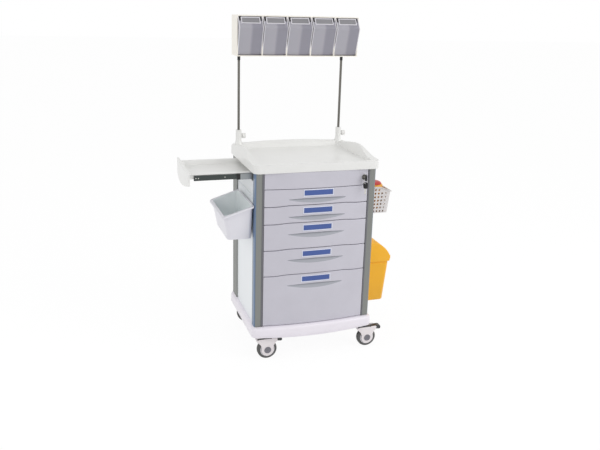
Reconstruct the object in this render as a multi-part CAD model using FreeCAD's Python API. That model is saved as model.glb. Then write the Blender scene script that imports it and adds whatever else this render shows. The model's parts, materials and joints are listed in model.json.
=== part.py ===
"""Anaesthesia trolley: moulded base and worktop on four corner posts, five drawers, a pull-out side
shelf, a raised rack of tip-out bins, a tub, a perforated basket and a lidded waste bin.

Millimetres. The cart is drawn about its own centre line, +X to its right, front towards -Y, floor at
Z = 0. Every piece is moved by cart_offset on saving, so that the saved origin is the bottom centre
of the whole object with its side shelf pulled out.
"""
import FreeCAD, Part
import math
import os
from FreeCAD import Placement, Rotation, Vector

# Cart, overall
top_width = 600.0
top_depth = 480.0
castor_height = 118.0
deck_step = 51.0
front_bow = 18.0
side_overhang = 12.0
front_overhang = 16.0
rear_overhang = 7.0

# Moulded base
base_wall = 4.0
base_corner = 28.0
base_shoulder = 15.0
skirt_drop = 22.0
boss_radius = 24.0

# Drawer fronts, from the bottom up, and the fascia above them
front_heights = [247.0, 125.0, 125.0, 82.0, 82.0]
fascia_height = 75.0
front_gap = 3.0
front_bow_drawer = 17.0
front_thickness = 18.0
front_wall = 3.0
hump_height = 5.5
hump_half_width = 120.0
hump_ramp = 90.0
finger_width = 276.0
finger_height = 16.0
finger_sag = 4.0
finger_depth = 11.0
finger_below_label = 12.0
label_width = 134.0
label_height = 24.0
label_below_top = 10.0
label_thickness = 1.8
card_margin = 2.5
card_depth = 0.8

# Corner posts and panels
post_width = 39.0
front_post_depth = 45.0
rear_post_depth = 100.0
post_wall = 2.5
post_corner = 12.0
groove_depth = 6.0
inlay_width = 26.0
inlay_depth = 1.0
panel_thickness = 4.0
panel_recess = 5.0
panel_play = 0.1
panel_ledge_z = 795.0
panel_ledge_depth = 2.0
shelf_slot_height = 48.0
side_gap = 2.0

# Drawer boxes and slides
box_wall = 2.5
box_depth = 396.0
box_floor_rise = 8.0
box_top_drop = 16.0
box_corner = 10.0
slide_width = 13.0
slide_height = 32.0
slide_sheet = 1.5
slide_play = 0.8
slide_lift = 24.0
upright_width = 30.0
upright_sheet = 1.5

# Worktop
top_apron = 39.0
top_floor_rise = 26.0
guard_crest = 74.0
guard_rear_end = 46.0
guard_rear_mid = 59.0
guard_lean = 13.0
guard_crest_width = 9.0
guard_slope = 15.0
guard_start = 50.0
guard_peak = 225.0
guard_turn = 30.0
guard_rear_slope = -0.12
lip_width = 13.0
top_corner = 30.0
top_shell = 4.0
underside_rib = 10.0

# Pull-out side shelf
shelf_travel = 268.0
shelf_front_gap = 7.0
shelf_rear_gap = 4.0
shelf_rim_gap = 3.0
shelf_rim_play = 1.0
shelf_depth = 21.0
shelf_wall = 3.0
shelf_slide_thickness = 12.0
shelf_slide_height = 31.0
shelf_slide_step = 4.0
shelf_end_thickness = 8.0
shelf_end_bow = 10.0
shelf_end_rise = 13.0
shelf_end_height = 62.0
shelf_end_dip = 22.0
shelf_end_margin = 12.0
shelf_gap = 1.5
shelf_overlap = 60.0
shelf_fixed_length = 360.0
shelf_middle_length = 300.0
shelf_middle_reach = 60.0

# Rack of tip-out bins on two poles
pole_radius = 6.0
pole_inset = 38.0
pole_rear_margin = 21.0
pole_bottom = 690.0
rack_bottom = 1386.0
rack_width = 596.0
rack_height = 184.0
rack_wall = 4.0
rack_depth = 112.0
bin_count = 5
bin_gap = 0.8
bin_wall = 2.0
bin_top_inset = 3.0
bin_ridge_reach = 30.0
bin_ridge_drop = 54.0
bin_bottom_inset = 10.0
bin_back_height = 105.0
bin_back_gap = 8.0
bin_pivot_radius = 3.0
bin_pivot_rise = 9.0
running_play = 0.05
clamp_radius = 14.0
clamp_flare = 6.0
clamp_foot = 20.0
clamp_height = 72.0
clamp_lug = 9.0
knob_rise = 42.0
knob_gap = 4.0
knob_radius = 13.0
knob_length = 16.0
knob_stem = 4.0
knob_lobes = 5
knob_lobe_cut = 4.5
pole_seat_play = 0.3

# Castors
castor_inset_x = 45.0
castor_inset_y = 30.0
wheel_radius = 47.5
wheel_width = 27.0
tyre_thickness = 15.0
tyre_shoulder = 8.0
rim_dish = 5.0
rim_hub = 13.0
castor_trail = 33.0
axle_radius = 4.0
axle_cap_radius = 15.0
axle_cap_thickness = 2.5
fork_inner = 31.0
fork_cheek = 4.5
hood_play = 4.5
hood_thickness = 5.5
hood_front = 54.0
hood_rear = 48.0
hood_brim = 7.0
cheek_half = 29.0
cheek_waist = 30.0
swivel_radius = 17.0
swivel_pin_radius = 5.0
flange_height = 6.0
flange_gap = 1.0
pedal_length = 38.0
pedal_width = 23.0
pedal_thickness = 7.0
pedal_pin_radius = 2.5
pedal_pin_x = 34.0
pedal_pin_z = 48.0
pedal_heel = 6.0
pedal_tip = 8.0

# Side bins: how far they stand out and how deep and high they are
bracket_sheet = 2.0
bracket_gap = 4.0
hook_drop = 28.0
hook_cap = 3.0
hook_play = 0.8
bracket_drop = 34.0
bracket_leg_drop = 12.0
bracket_margin = 5.0
tub_top_reach = 140.0
tub_bottom_reach = 112.0
tub_front_y = -205.0
tub_rear_y = 90.0
tub_top_z = 755.0
tub_height = 159.0
tub_rim_drop = 46.0
tub_taper_y = 22.0
tub_wall = 3.0
tub_flange = 5.0
tub_corner = 18.0
basket_reach = 138.0
basket_bottom_reach = 126.0
basket_front_y = -110.0
basket_rear_y = 30.0
basket_top_z = 780.0
basket_height = 130.0
basket_rim_drop = 24.0
basket_taper = 6.0
basket_wall = 2.5
basket_flange = 4.0
basket_row_count = 7
basket_column_count = 6
basket_pitch_z = 18.0
basket_pitch_y = 17.5
basket_hole = 9.0
basket_hole_margin = 20.0
waste_reach = 148.0
waste_bottom_reach = 116.0
waste_front_y = -110.0
waste_rear_y = 112.0
waste_top_z = 425.0
waste_height = 240.0
waste_taper = 16.0
waste_wall = 3.0
lid_rise = 95.0
lid_pin_inset = 12.0
lid_pin_drop = 10.0
lid_back = 4.5
lid_flat = 26.0
ear_inset = 12.0
ear_thickness = 4.0
ear_radius = 8.0
ear_drop = 18.0
lid_band = 24.0
lid_wall = 2.5
lid_play = 1.0
lid_pin_radius = 3.0
sharps_radius = 44.0
sharps_taper = 5.0
sharps_height = 108.0
sharps_ring_height = 14.0
sharps_cap_height = 18.0
sharps_cap_radius = 36.0
sharps_wall = 2.0
sharps_opening = 28.0
sharps_grip = 5.0

# Lock and keys
lock_inset = 20.0
lock_radius = 10.0
lock_plug_radius = 6.0
key_head_width = 22.0
key_head_height = 30.0
key_head_thickness = 5.0
key_head_corner = 8.0
key_blade = 8.0
key_blade_length = 26.0
key_blade_thickness = 2.0
cam_reach = 18.0
cam_half = 7.0
cam_thickness = 2.0
lock_depth = 12.0
lock_proud = 4.0
key_shank = 5.0
key_eye = 2.6
key_eye_margin = 6.0
spare_key_turn = 35.0
ring_radius = 9.0
ring_wire = 1.0

# How far cutting shapes reach past what they cut
clear = 60.0

# Worked out from the above
half_width = top_width / 2
front_edge = -top_depth / 2
rear_edge = top_depth / 2
pole_x = half_width - pole_inset
castor_x = half_width - castor_inset_x
castor_y = rear_edge - castor_inset_y
deck_z = castor_height + deck_step
body_half = half_width - side_overhang
body_front = front_edge + front_overhang
body_rear = rear_edge - rear_overhang
post_inner = body_half - post_width
front_half = post_inner - side_gap
fronts_z = deck_z + 1.0
fascia_z = fronts_z + sum(front_heights)
top_z = fascia_z + fascia_height
panel_outer = body_half - panel_recess
panel_inner = panel_outer - panel_thickness
front_post_rear = body_front + front_post_depth
rear_post_front = body_rear - rear_post_depth
front_back_y = body_front + front_thickness
slide_outer = post_inner - 1.0
box_half = slide_outer - slide_width
box_rear = front_back_y + box_depth
upright_face = slide_outer + slide_play + slide_sheet
shelf_top_z = top_z - shelf_rim_gap
shelf_floor_z = shelf_top_z - shelf_depth
shelf_y0 = front_post_rear + shelf_front_gap
shelf_y1 = rear_post_front - shelf_rear_gap
shelf_slide_z = shelf_top_z - shelf_wall - 1.0 - shelf_slide_height / 2
shelf_inner_x = half_width + shelf_gap + shelf_travel
shelf_tray_inner_end = -half_width - shelf_gap + shelf_overlap
pole_y = rear_edge - pole_rear_margin
rack_rear = pole_y - pole_radius
rack_front = rack_rear - rack_depth
rack_top = rack_bottom + rack_height
bin_pitch = (rack_width - rack_wall) / bin_count
clamp_z = top_z + guard_rear_end
knob_z = clamp_z + knob_rise
side_wall_x = panel_outer + bracket_sheet + bracket_gap + bracket_sheet + 1.0
sharps_z = basket_top_z - basket_height + basket_wall
lock_x = front_half - lock_inset
lock_z = fascia_z + fascia_height / 2
fascia_radius = (front_half ** 2 + front_bow_drawer ** 2) / (2 * front_bow_drawer)
lock_face_y = body_front - front_bow_drawer + fascia_radius - math.sqrt(fascia_radius ** 2 - lock_x ** 2)
key_head_y = lock_face_y - lock_proud - key_shank
left_reach = shelf_inner_x + shelf_end_thickness + shelf_end_bow
right_reach = side_wall_x + waste_reach + lid_play + lid_wall
front_reach = max(front_bow - front_edge, key_head_width - key_head_y)
cart_offset = Vector((left_reach - right_reach) / 2, (front_reach - rear_edge) / 2, 0)


def block(x0, x1, y0, y1, z0, z1):
    """Box between two corners, given in any order."""
    low = Vector(min(x0, x1), min(y0, y1), min(z0, z1))
    return Part.makeBox(abs(x1 - x0), abs(y1 - y0), abs(z1 - z0), low)


def rod(radius, start, end):
    """Cylinder from one point to another."""
    start, end = Vector(*start), Vector(*end)
    return Part.makeCylinder(radius, (end - start).Length, start, end - start)


def face_of(edges):
    """Flat face inside edges that meet end to end."""
    return Part.Face(Part.Wire(edges))


def polygon(points):
    """Flat face with straight edges through the points."""
    return Part.Face(Part.makePolygon([Vector(*p) for p in list(points) + [points[0]]]))


def arc(start, middle, end):
    """Arc edge through three points."""
    return Part.Arc(Vector(*start), Vector(*middle), Vector(*end)).toShape()


def line(start, end):
    """Straight edge between two points."""
    return Part.makeLine(Vector(*start), Vector(*end))


def upright_edges(shape, near=None):
    """Edges that run along Z, or only those for which near(x, y) holds."""
    found = []
    for edge in shape.Edges:
        ends = [v.Point for v in edge.Vertexes]
        if len(ends) == 2 and abs(ends[0].x - ends[1].x) < 1e-6 and abs(ends[0].y - ends[1].y) < 1e-6:
            if near is None or near(ends[0].x, ends[0].y):
                found.append(edge)
    return found


def level_edges(shape, z):
    """Edges that lie at one height."""
    return [e for e in shape.Edges if all(abs(v.Point.z - z) < 1e-6 for v in e.Vertexes)]


def rounded_wire(x0, x1, y0, y1, radius, z):
    """Rectangle with rounded corners, at one height."""
    k = radius * (1 - math.sqrt(0.5))
    r = radius
    return Part.Wire([
        line((x0 + r, y0, z), (x1 - r, y0, z)), arc((x1 - r, y0, z), (x1 - k, y0 + k, z), (x1, y0 + r, z)),
        line((x1, y0 + r, z), (x1, y1 - r, z)), arc((x1, y1 - r, z), (x1 - k, y1 - k, z), (x1 - r, y1, z)),
        line((x1 - r, y1, z), (x0 + r, y1, z)), arc((x0 + r, y1, z), (x0 + k, y1 - k, z), (x0, y1 - r, z)),
        line((x0, y1 - r, z), (x0, y0 + r, z)), arc((x0, y0 + r, z), (x0 + k, y0 + k, z), (x0 + r, y0, z)),
    ])


def rounded_block(x0, x1, y0, y1, radius, z0, z1):
    """Upright block with rounded corners."""
    return Part.Face(rounded_wire(x0, x1, y0, y1, radius, z0)).extrude(Vector(0, 0, z1 - z0))


def frustum(lower, upper):
    """Solid lofted between two rounded rectangles, each (x0, x1, y0, y1, radius, z)."""
    return Part.makeLoft([rounded_wire(*lower), rounded_wire(*upper)], True, True)


def tapered_block(lower, upper, radius):
    """Block with flat leaning sides between two rectangles (x0, x1, y0, y1, z), corners rounded."""
    def corners(x0, x1, y0, y1, z):
        return [Vector(x0, y0, z), Vector(x1, y0, z), Vector(x1, y1, z), Vector(x0, y1, z)]

    low, high = corners(*lower), corners(*upper)
    faces = [polygon(list(reversed(low))), polygon(high)]
    for n in range(4):
        m = (n + 1) % 4
        faces.append(polygon([low[n], low[m], high[m], high[n]]))
    solid = Part.Solid(Part.Shell(faces))
    heights = {round(lower[4], 6), round(upper[4], 6)}
    slanted = [e for e in solid.Edges if {round(v.Point.z, 6) for v in e.Vertexes} == heights]
    return solid.makeFillet(radius, slanted)


def bowed_block(half, y_ends, y_rear, bow, z0, z1):
    """Upright block whose front face bows out towards -Y in the middle."""
    front = arc((-half, y_ends, z0), (0, y_ends - bow, z0), (half, y_ends, z0))
    rest = [line((half, y_ends, z0), (half, y_rear, z0)), line((half, y_rear, z0), (-half, y_rear, z0)),
            line((-half, y_rear, z0), (-half, y_ends, z0))]
    return face_of([front] + rest).extrude(Vector(0, 0, z1 - z0))


def both_sides(shape):
    """The shape and its mirror image on the other side of the cart."""
    return [shape, shape.mirror(Vector(0, 0, 0), Vector(1, 0, 0))]


def save(node, solids):
    """Move the pieces to the saved origin and write them as one node."""
    moved = []
    for solid in solids:
        piece = solid.copy()
        piece.translate(cart_offset)
        moved.append(piece)
    Part.makeCompound(moved).exportStep("parts/" + node + ".step")


def base():
    """Tray-like base: bowed apron with a drooping lower edge, rounded shoulder, castor bosses."""
    low = castor_height - skirt_drop
    outer = bowed_block(half_width, front_edge, rear_edge, front_bow, low, deck_z)
    outer = outer.makeFillet(base_corner, upright_edges(outer))
    outer = outer.makeFillet(base_shoulder, level_edges(outer, deck_z))
    hollow = bowed_block(half_width - base_wall, front_edge + base_wall, rear_edge - base_wall,
                         front_bow, low, deck_z - base_wall)
    hollow = hollow.makeFillet(base_corner - base_wall, upright_edges(hollow))
    hollow = hollow.makeFillet(base_shoulder - base_wall, level_edges(hollow, deck_z - base_wall))
    shell = outer.cut(hollow)
    droop_half = half_width - base_corner
    beyond = half_width + clear
    before = front_edge - clear
    under = face_of([
        line((-beyond, before, castor_height), (-droop_half, before, castor_height)),
        arc((-droop_half, before, castor_height), (0, before, low), (droop_half, before, castor_height)),
        line((droop_half, before, castor_height), (beyond, before, castor_height)),
        line((beyond, before, castor_height), (beyond, before, 0)),
        line((beyond, before, 0), (-beyond, before, 0)),
        line((-beyond, before, 0), (-beyond, before, castor_height)),
    ]).extrude(Vector(0, clear + base_corner * 2, 0))
    shell = shell.cut(under)
    shell = shell.cut(block(-beyond, beyond, front_edge + base_corner * 2, rear_edge + clear,
                            0, castor_height))
    for x in (-castor_x, castor_x):
        for y in (-castor_y, castor_y):
            boss = rod(boss_radius, (x, y, castor_height), (x, y, deck_z - base_wall / 2))
            boss = boss.common(block(-half_width + base_wall / 2, half_width - base_wall / 2,
                                     front_edge, rear_edge - base_wall / 2, 0, deck_z))
            shell = shell.fuse(boss)
    for x in (-castor_x, castor_x):
        for y in (-castor_y, castor_y):
            shell = shell.cut(rod(swivel_pin_radius + 2, (x, y, castor_height), (x, y, deck_z - base_wall)))
    return shell.removeSplitter()


def post(y0, y1, outer_corner_y, groove_y, groove_side):
    """Right-hand corner extrusion: hollow, one rounded corner, a groove that takes the side panel."""
    solid = block(post_inner, body_half, y0, y1, deck_z, top_z)
    corner = upright_edges(solid, lambda x, y: abs(x - body_half) < 1e-6 and abs(y - outer_corner_y) < 1e-6)
    solid = solid.makeFillet(post_corner, corner)
    groove = block(panel_inner - panel_play, panel_outer + panel_play, groove_y,
                   groove_y + groove_side * groove_depth, deck_z, top_z)
    hollow_y0 = y0 + post_wall + (groove_depth if groove_side > 0 else 0)
    hollow_y1 = y1 - post_wall - (groove_depth if groove_side < 0 else 0)
    hollow = block(post_inner + post_wall, body_half - post_wall - inlay_depth,
                   hollow_y0, hollow_y1, deck_z, top_z)
    hollow_corner = upright_edges(hollow, lambda x, y: x > post_inner + post_wall + 1
                                  and abs(y - outer_corner_y) < groove_depth + post_wall + 1)
    hollow = hollow.makeFillet(post_corner - post_wall, hollow_corner)
    return solid.cut(groove).cut(hollow)


def inlay_span():
    """Front and rear Y of the coloured strip on the front post's outer side."""
    start = body_front + post_corner + 1
    return start, start + inlay_width


def front_post():
    """Right-hand front post with the shallow seat for its coloured strip."""
    y0, y1 = inlay_span()
    solid = post(body_front, front_post_rear, body_front, front_post_rear, -1)
    return solid.cut(block(body_half - inlay_depth, body_half + 1, y0, y1, deck_z, top_z))


def inlay():
    """Coloured strip along the right-hand front post."""
    y0, y1 = inlay_span()
    return block(body_half - inlay_depth, body_half, y0 + panel_play, y1 - panel_play, deck_z, top_z)


def rear_post():
    """Right-hand rear post."""
    return post(rear_post_front, body_rear, body_rear, rear_post_front, 1)


def side_panel(top):
    """Right-hand side sheet between the posts, with a stepped ledge line near its top."""
    y0 = front_post_rear - groove_depth + panel_play
    y1 = rear_post_front + groove_depth - panel_play
    sheet = block(panel_inner, panel_outer, y0, y1, deck_z, top)
    line_cut = block(panel_outer - panel_ledge_depth, panel_outer + 1, front_post_rear, rear_post_front,
                     panel_ledge_z - 5, panel_ledge_z)
    return sheet.cut(line_cut)


def back_panel():
    """Sheet across the back, just inside the rear posts' rear faces, with pressed ribs."""
    sheet = block(-post_inner, post_inner, body_rear - panel_recess - panel_thickness,
                  body_rear - panel_recess, deck_z, top_z)
    rib_step = (top_z - deck_z) / 4
    for n in range(1, 4):
        z = deck_z + n * rib_step
        sheet = sheet.fuse(block(-post_inner + 40, post_inner - 40, body_rear - panel_recess,
                                 body_rear - panel_recess + 2, z - 8, z + 8))
    return sheet


def boundary(y, z, x_end):
    """Edges of one parting line between fronts, left to right: level ends and a raised middle."""
    foot = hump_half_width + hump_ramp
    left = [(-foot, y, z), (-foot + hump_ramp / 2, y, z + hump_height / 2),
            (-hump_half_width, y, z + hump_height)]
    slope = 2 * hump_height / hump_ramp

    def ramp(points, sign):
        curve = Part.BSplineCurve()
        flat = Vector(1, 0, 0)
        curve.interpolate(Points=[Vector(*p) for p in points],
                          Tangents=[flat, Vector(1, 0, sign * slope), flat],
                          TangentFlags=[True, True, True])
        return curve.toShape()

    right = [(-p[0], p[1], p[2]) for p in reversed(left)]
    return [line((-x_end, y, z), left[0]), ramp(left, 1), line(left[2], right[0]), ramp(right, -1),
            line(right[2], (x_end, y, z))]


def band(z_low, low_hump, z_high, high_hump):
    """Region of a front seen from the front, extruded through its depth."""
    y = body_front - front_bow_drawer - 10
    if low_hump:
        lower = boundary(y, z_low, front_half)
    else:
        lower = [line((-front_half, y, z_low), (front_half, y, z_low))]
    if high_hump:
        upper = boundary(y, z_high, front_half)
    else:
        upper = [line((-front_half, y, z_high), (front_half, y, z_high))]
    sides = [line((front_half, y, z_low), (front_half, y, z_high)),
             line((-front_half, y, z_high), (-front_half, y, z_low))]
    region = Part.Face(Part.Wire(Part.__sortEdges__(lower + sides + upper)))
    return region.extrude(Vector(0, front_bow_drawer + front_thickness + 40, 0))


def front_span(index):
    """Lower and upper height of one drawer front, counted from the bottom."""
    low = fronts_z + sum(front_heights[:index])
    return low + front_gap / 2, low + front_heights[index] - front_gap / 2


def label_span(index):
    """Lower and upper height of one drawer's label holder."""
    high = front_span(index)[1] - label_below_top
    return high - label_height, high


def finger_scoop(index):
    """Crescent finger pull: deep under its top edge, running out to the surface below."""
    high = label_span(index)[0] - finger_below_label
    half = finger_width / 2
    y_out = body_front - front_bow_drawer - 10
    region = face_of([arc((-half, y_out, high), (0, y_out, high - finger_sag), (half, y_out, high)),
                      arc((half, y_out, high), (0, y_out, high - finger_height), (-half, y_out, high))])
    crescent = region.extrude(Vector(0, 60, 0))
    surface = body_front - front_bow_drawer
    wedge = polygon([(-half, surface - 12, high + 1), (-half, surface + finger_depth, high + 1),
                     (-half, surface + finger_depth, high - finger_sag - 2),
                     (-half, surface, high - finger_height), (-half, surface - 12, high - finger_height - 2)])
    return crescent.common(wedge.extrude(Vector(2 * half, 0, 0)))


def drawer_front(index):
    """Bowed moulded front, hollow behind, with the finger pull and a flat seat for the box."""
    low, high = front_span(index)
    last = index == len(front_heights) - 1
    region = band(low, index > 0, high, not last)
    bowed = bowed_block(front_half, body_front, front_back_y, front_bow_drawer, low - 1,
                        high + hump_height + 1)
    solid = bowed.common(region)
    high_pull = label_span(index)[0] - finger_below_label + front_wall
    low_pull = high_pull - finger_height - 2 * front_wall
    pocket = bowed_block(front_half - front_wall, body_front + front_wall, front_back_y,
                         front_bow_drawer, low + front_wall + hump_height, high - front_wall)
    keep = block(-finger_width / 2 - front_wall, finger_width / 2 + front_wall,
                 body_front - front_bow_drawer - 1, front_back_y + 1, low_pull, high_pull)
    return solid.cut(pocket.cut(keep)).cut(finger_scoop(index))


def label(index):
    """Clear holder on the front's curved face and the card in its pocket."""
    low, high = label_span(index)
    face = bowed_block(front_half, body_front, front_back_y, front_bow_drawer, low, high)
    proud = bowed_block(front_half, body_front - label_thickness, front_back_y, front_bow_drawer, low, high)
    window = block(-label_width / 2, label_width / 2, body_front - 60, front_back_y, low, high)
    holder = proud.common(window).cut(face)
    lower = low + card_margin
    upper = high - card_margin
    seat = bowed_block(front_half, body_front - label_thickness + card_depth, front_back_y,
                       front_bow_drawer, lower, upper)
    card_window = block(-label_width / 2 + card_margin, label_width / 2 - card_margin,
                        body_front - 60, front_back_y, lower, upper)
    card = proud.common(card_window).cut(seat)
    return [holder.cut(card), card]


def drawer_box(index):
    """Open box behind a front, with its two slide members."""
    low, high = front_span(index)
    floor = low + box_floor_rise
    top = high - box_top_drop
    outer = rounded_block(-box_half, box_half, front_back_y, box_rear, box_corner, floor, top)
    inner = rounded_block(-box_half + box_wall, box_half - box_wall, front_back_y + box_wall,
                          box_rear - box_wall, box_corner - box_wall, floor + box_wall, top)
    return [outer.cut(inner)] + both_sides(slide_member(slide_z(index)))


def slide_z(index):
    """Height of a drawer's slides."""
    return front_span(index)[0] + box_floor_rise + slide_lift


def slide_member(z):
    """Moving right-hand slide member: a channel section on the box's side."""
    outer = block(box_half, slide_outer, front_back_y, box_rear, z - slide_height / 2, z + slide_height / 2)
    inner = block(box_half + slide_sheet * 2, slide_outer, front_back_y, box_rear,
                  z - slide_height / 2 + slide_sheet * 2, z + slide_height / 2 - slide_sheet * 2)
    return outer.cut(inner)


def guides():
    """Fixed outer slide channels and the four uprights that carry them."""
    pieces = []
    upright_ys = [front_post_rear + 12, rear_post_front - 12 - upright_width]
    for y in upright_ys:
        top = shelf_slide_z - shelf_slide_height / 2 - 8
        outer = block(upright_face, panel_inner, y, y + upright_width, deck_z, top)
        inner = block(upright_face + upright_sheet, panel_inner, y + upright_sheet,
                      y + upright_width - upright_sheet, deck_z, top)
        pieces += both_sides(outer.cut(inner))
    reach = slide_height / 2 + slide_play
    for index in range(len(front_heights)):
        z = slide_z(index)
        outer = block(slide_outer - slide_width / 2, upright_face, front_post_rear + 2, rear_post_front - 1,
                      z - reach - slide_sheet, z + reach + slide_sheet)
        inner = block(slide_outer - slide_width / 2, upright_face - slide_sheet, front_post_rear + 2,
                      rear_post_front - 1, z - reach, z + reach)
        pieces += both_sides(outer.cut(inner))
    fixed_x = -panel_inner + 2
    fixed = shelf_slide(fixed_x, fixed_x + shelf_fixed_length, 2, shelf_slide_height)
    low = shelf_slide_z - shelf_slide_height / 2
    for member, y, sign in zip(fixed, (shelf_y0, shelf_y1), (1, -1)):
        plate = block(fixed_x, fixed_x + shelf_fixed_length, y - sign * 2, y + sign * 0.3, low, top_z)
        pieces.append(member.fuse(plate))
    return pieces


def fascia():
    """Bowed rail above the drawers with the lock hole."""
    low = fascia_z + front_gap / 2
    solid = bowed_block(front_half, body_front, front_back_y, front_bow_drawer, low, top_z)
    pocket = bowed_block(front_half - front_wall, body_front + front_wall, front_back_y,
                         front_bow_drawer, low + front_wall, top_z - front_wall)
    pad = block(lock_x - lock_radius - 6, lock_x + lock_radius + 6, body_front - front_bow_drawer,
                front_back_y, low, top_z)
    solid = solid.cut(pocket.cut(pad))
    ears = block(front_half - front_wall, post_inner, front_back_y - 6, front_back_y, low, top_z)
    solid = solid.fuse(ears).fuse(both_sides(ears)[1])
    hole = rod(lock_radius, (lock_x, body_front - 40, lock_z), (lock_x, front_back_y + 10, lock_z))
    return solid.cut(hole)


def worktop():
    """Moulded tray top: rounded lip in front, sweeping side guards and an arched rear guard."""
    crest = top_z + guard_crest
    apron_z = top_z + top_apron
    lower = rounded_block(-half_width, half_width, front_edge, rear_edge, top_corner, top_z, apron_z)
    lower = lower.makeFillet(4.0, level_edges(lower, top_z))
    outline = (-half_width, half_width, front_edge, rear_edge, top_corner, apron_z)
    leaned = (-half_width + guard_lean, half_width - guard_lean, front_edge + guard_lean,
              rear_edge - guard_lean, top_corner, crest)
    outer = lower.fuse(frustum(outline, leaned))
    floor_z = top_z + top_floor_rise
    crest_in = guard_lean + guard_crest_width
    foot_in = crest_in + guard_slope
    front_foot = front_edge + lip_width + guard_slope / 2
    front_crest = front_edge + lip_width - guard_slope / 4
    basin = frustum((-half_width + foot_in, half_width - foot_in, front_foot, rear_edge - foot_in,
                     top_corner - 8, floor_z),
                    (-half_width + crest_in, half_width - crest_in, front_crest, rear_edge - crest_in,
                     top_corner - 8, crest + 1))
    solid = outer.cut(basin)
    cell = (shelf_y1 - shelf_y0 - 3 * underside_rib) / 2
    for n in range(2):
        y = shelf_y0 + underside_rib + n * (cell + underside_rib)
        solid = solid.cut(rounded_block(-post_inner + underside_rib, post_inner - underside_rib, y, y + cell,
                                        top_corner / 2, top_z, floor_z - top_shell))
    return solid.cut(above_side_guards(apron_z, crest)).cut(above_rear_guard(crest))


def above_side_guards(lip_z, crest):
    """Everything above the side guards' sweep, from the front lip to the peak and down to the rear."""
    x = -half_width - clear
    start_y = front_edge + guard_start
    peak_y = front_edge + guard_peak
    turn_y = rear_edge - guard_turn
    rear_z = top_z + guard_rear_end
    rise = Part.BSplineCurve()
    rise.interpolate(Points=[Vector(x, start_y, lip_z), Vector(x, peak_y, crest), Vector(x, turn_y, rear_z)],
                     Tangents=[Vector(0, 1, 0), Vector(0, 1, 0), Vector(0, 1, guard_rear_slope)],
                     TangentFlags=[True, True, True])
    high = crest + clear
    region = face_of([line((x, front_edge - clear, lip_z), (x, start_y, lip_z)), rise.toShape(),
                      line((x, turn_y, rear_z), (x, turn_y, high)),
                      line((x, turn_y, high), (x, front_edge - clear, high)),
                      line((x, front_edge - clear, high), (x, front_edge - clear, lip_z))])
    return region.extrude(Vector(top_width + 2 * clear, 0, 0))


def above_rear_guard(crest):
    """Everything above the rear guard's arch."""
    y = rear_edge - guard_turn
    end_z = top_z + guard_rear_end
    high = crest + clear
    wide = half_width + clear
    region = face_of([line((-wide, y, end_z), (-half_width, y, end_z)),
                      arc((-half_width, y, end_z), (0, y, top_z + guard_rear_mid), (half_width, y, end_z)),
                      line((half_width, y, end_z), (wide, y, end_z)), line((wide, y, end_z), (wide, y, high)),
                      line((wide, y, high), (-wide, y, high)), line((-wide, y, high), (-wide, y, end_z))])
    return region.extrude(Vector(0, 2 * clear, 0))


def pole_boss(solid):
    """Corner sleeves in the worktop that the poles pass through."""
    for x in (-pole_x, pole_x):
        solid = solid.fuse(rod(clamp_radius + clamp_flare, (x, pole_y, top_z), (x, pole_y, clamp_z)))
        solid = solid.cut(rod(clamp_radius + clamp_flare + pole_seat_play, (x, pole_y, clamp_z),
                              (x, pole_y, clamp_z + clamp_height)))
        solid = solid.cut(rod(pole_radius + pole_seat_play, (x, pole_y, top_z - 1), (x, pole_y, clamp_z + 1)))
    return solid


def pole_clamp(x):
    """Clamp on the worktop's rear corner: split sleeve with a lug for the knob."""
    z1 = clamp_z + clamp_height
    body = rod(clamp_radius, (x, pole_y, clamp_z), (x, pole_y, z1))
    foot = Part.makeCone(clamp_radius + clamp_flare, clamp_radius, clamp_foot, Vector(x, pole_y, clamp_z))
    lug = rod(clamp_lug, (x, pole_y, knob_z), (x + clamp_radius + knob_gap - 1, pole_y, knob_z))
    body = body.fuse(foot).fuse(lug)
    body = body.cut(rod(pole_radius + pole_seat_play, (x, pole_y, clamp_z - 1), (x, pole_y, z1 + 1)))
    return body.cut(knob_bore(x))


def knob_line(x):
    """Start and end of a clamp knob's screw."""
    return (x + pole_radius + 1.0, pole_y, knob_z), (x + clamp_radius + knob_gap, pole_y, knob_z)


def knob_bore(x):
    """Hole for a knob's screw."""
    start, end = knob_line(x)
    return rod(knob_stem + running_play, start, (end[0] + 1, end[1], end[2]))


def knob(x):
    """Five-lobed clamping knob on its screw."""
    start, end = knob_line(x)
    head_end = (end[0] + knob_length, end[1], end[2])
    solid = rod(knob_stem, start, end).fuse(rod(knob_radius, end, head_end))
    for n in range(knob_lobes):
        angle = 2 * math.pi * n / knob_lobes
        y = pole_y + (knob_radius + 2) * math.cos(angle)
        z = knob_z + (knob_radius + 2) * math.sin(angle)
        solid = solid.cut(rod(knob_lobe_cut, (end[0] - 1, y, z), (head_end[0] + 1, y, z)))
    return solid


def shelf_tray():
    """Shallow sliding tray with a turned-out rim over its slides."""
    x0 = -shelf_inner_x
    x1 = shelf_tray_inner_end
    y0 = shelf_y0 + shelf_slide_thickness + 1
    y1 = shelf_y1 - shelf_slide_thickness - 1
    outer = block(x0, x1, y0, y1, shelf_floor_z - shelf_wall, shelf_top_z)
    rim = block(x0, x1, shelf_y0 + shelf_rim_play, shelf_y1 - shelf_rim_play,
                shelf_top_z - shelf_wall, shelf_top_z)
    inner = tapered_block((x0 + 14, x1 - 14, y0 + 14, y1 - 14, shelf_floor_z),
                          (x0 + 6, x1 - 6, y0 + 6, y1 - 6, shelf_top_z), 14.0)
    return outer.fuse(rim).cut(inner)


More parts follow.
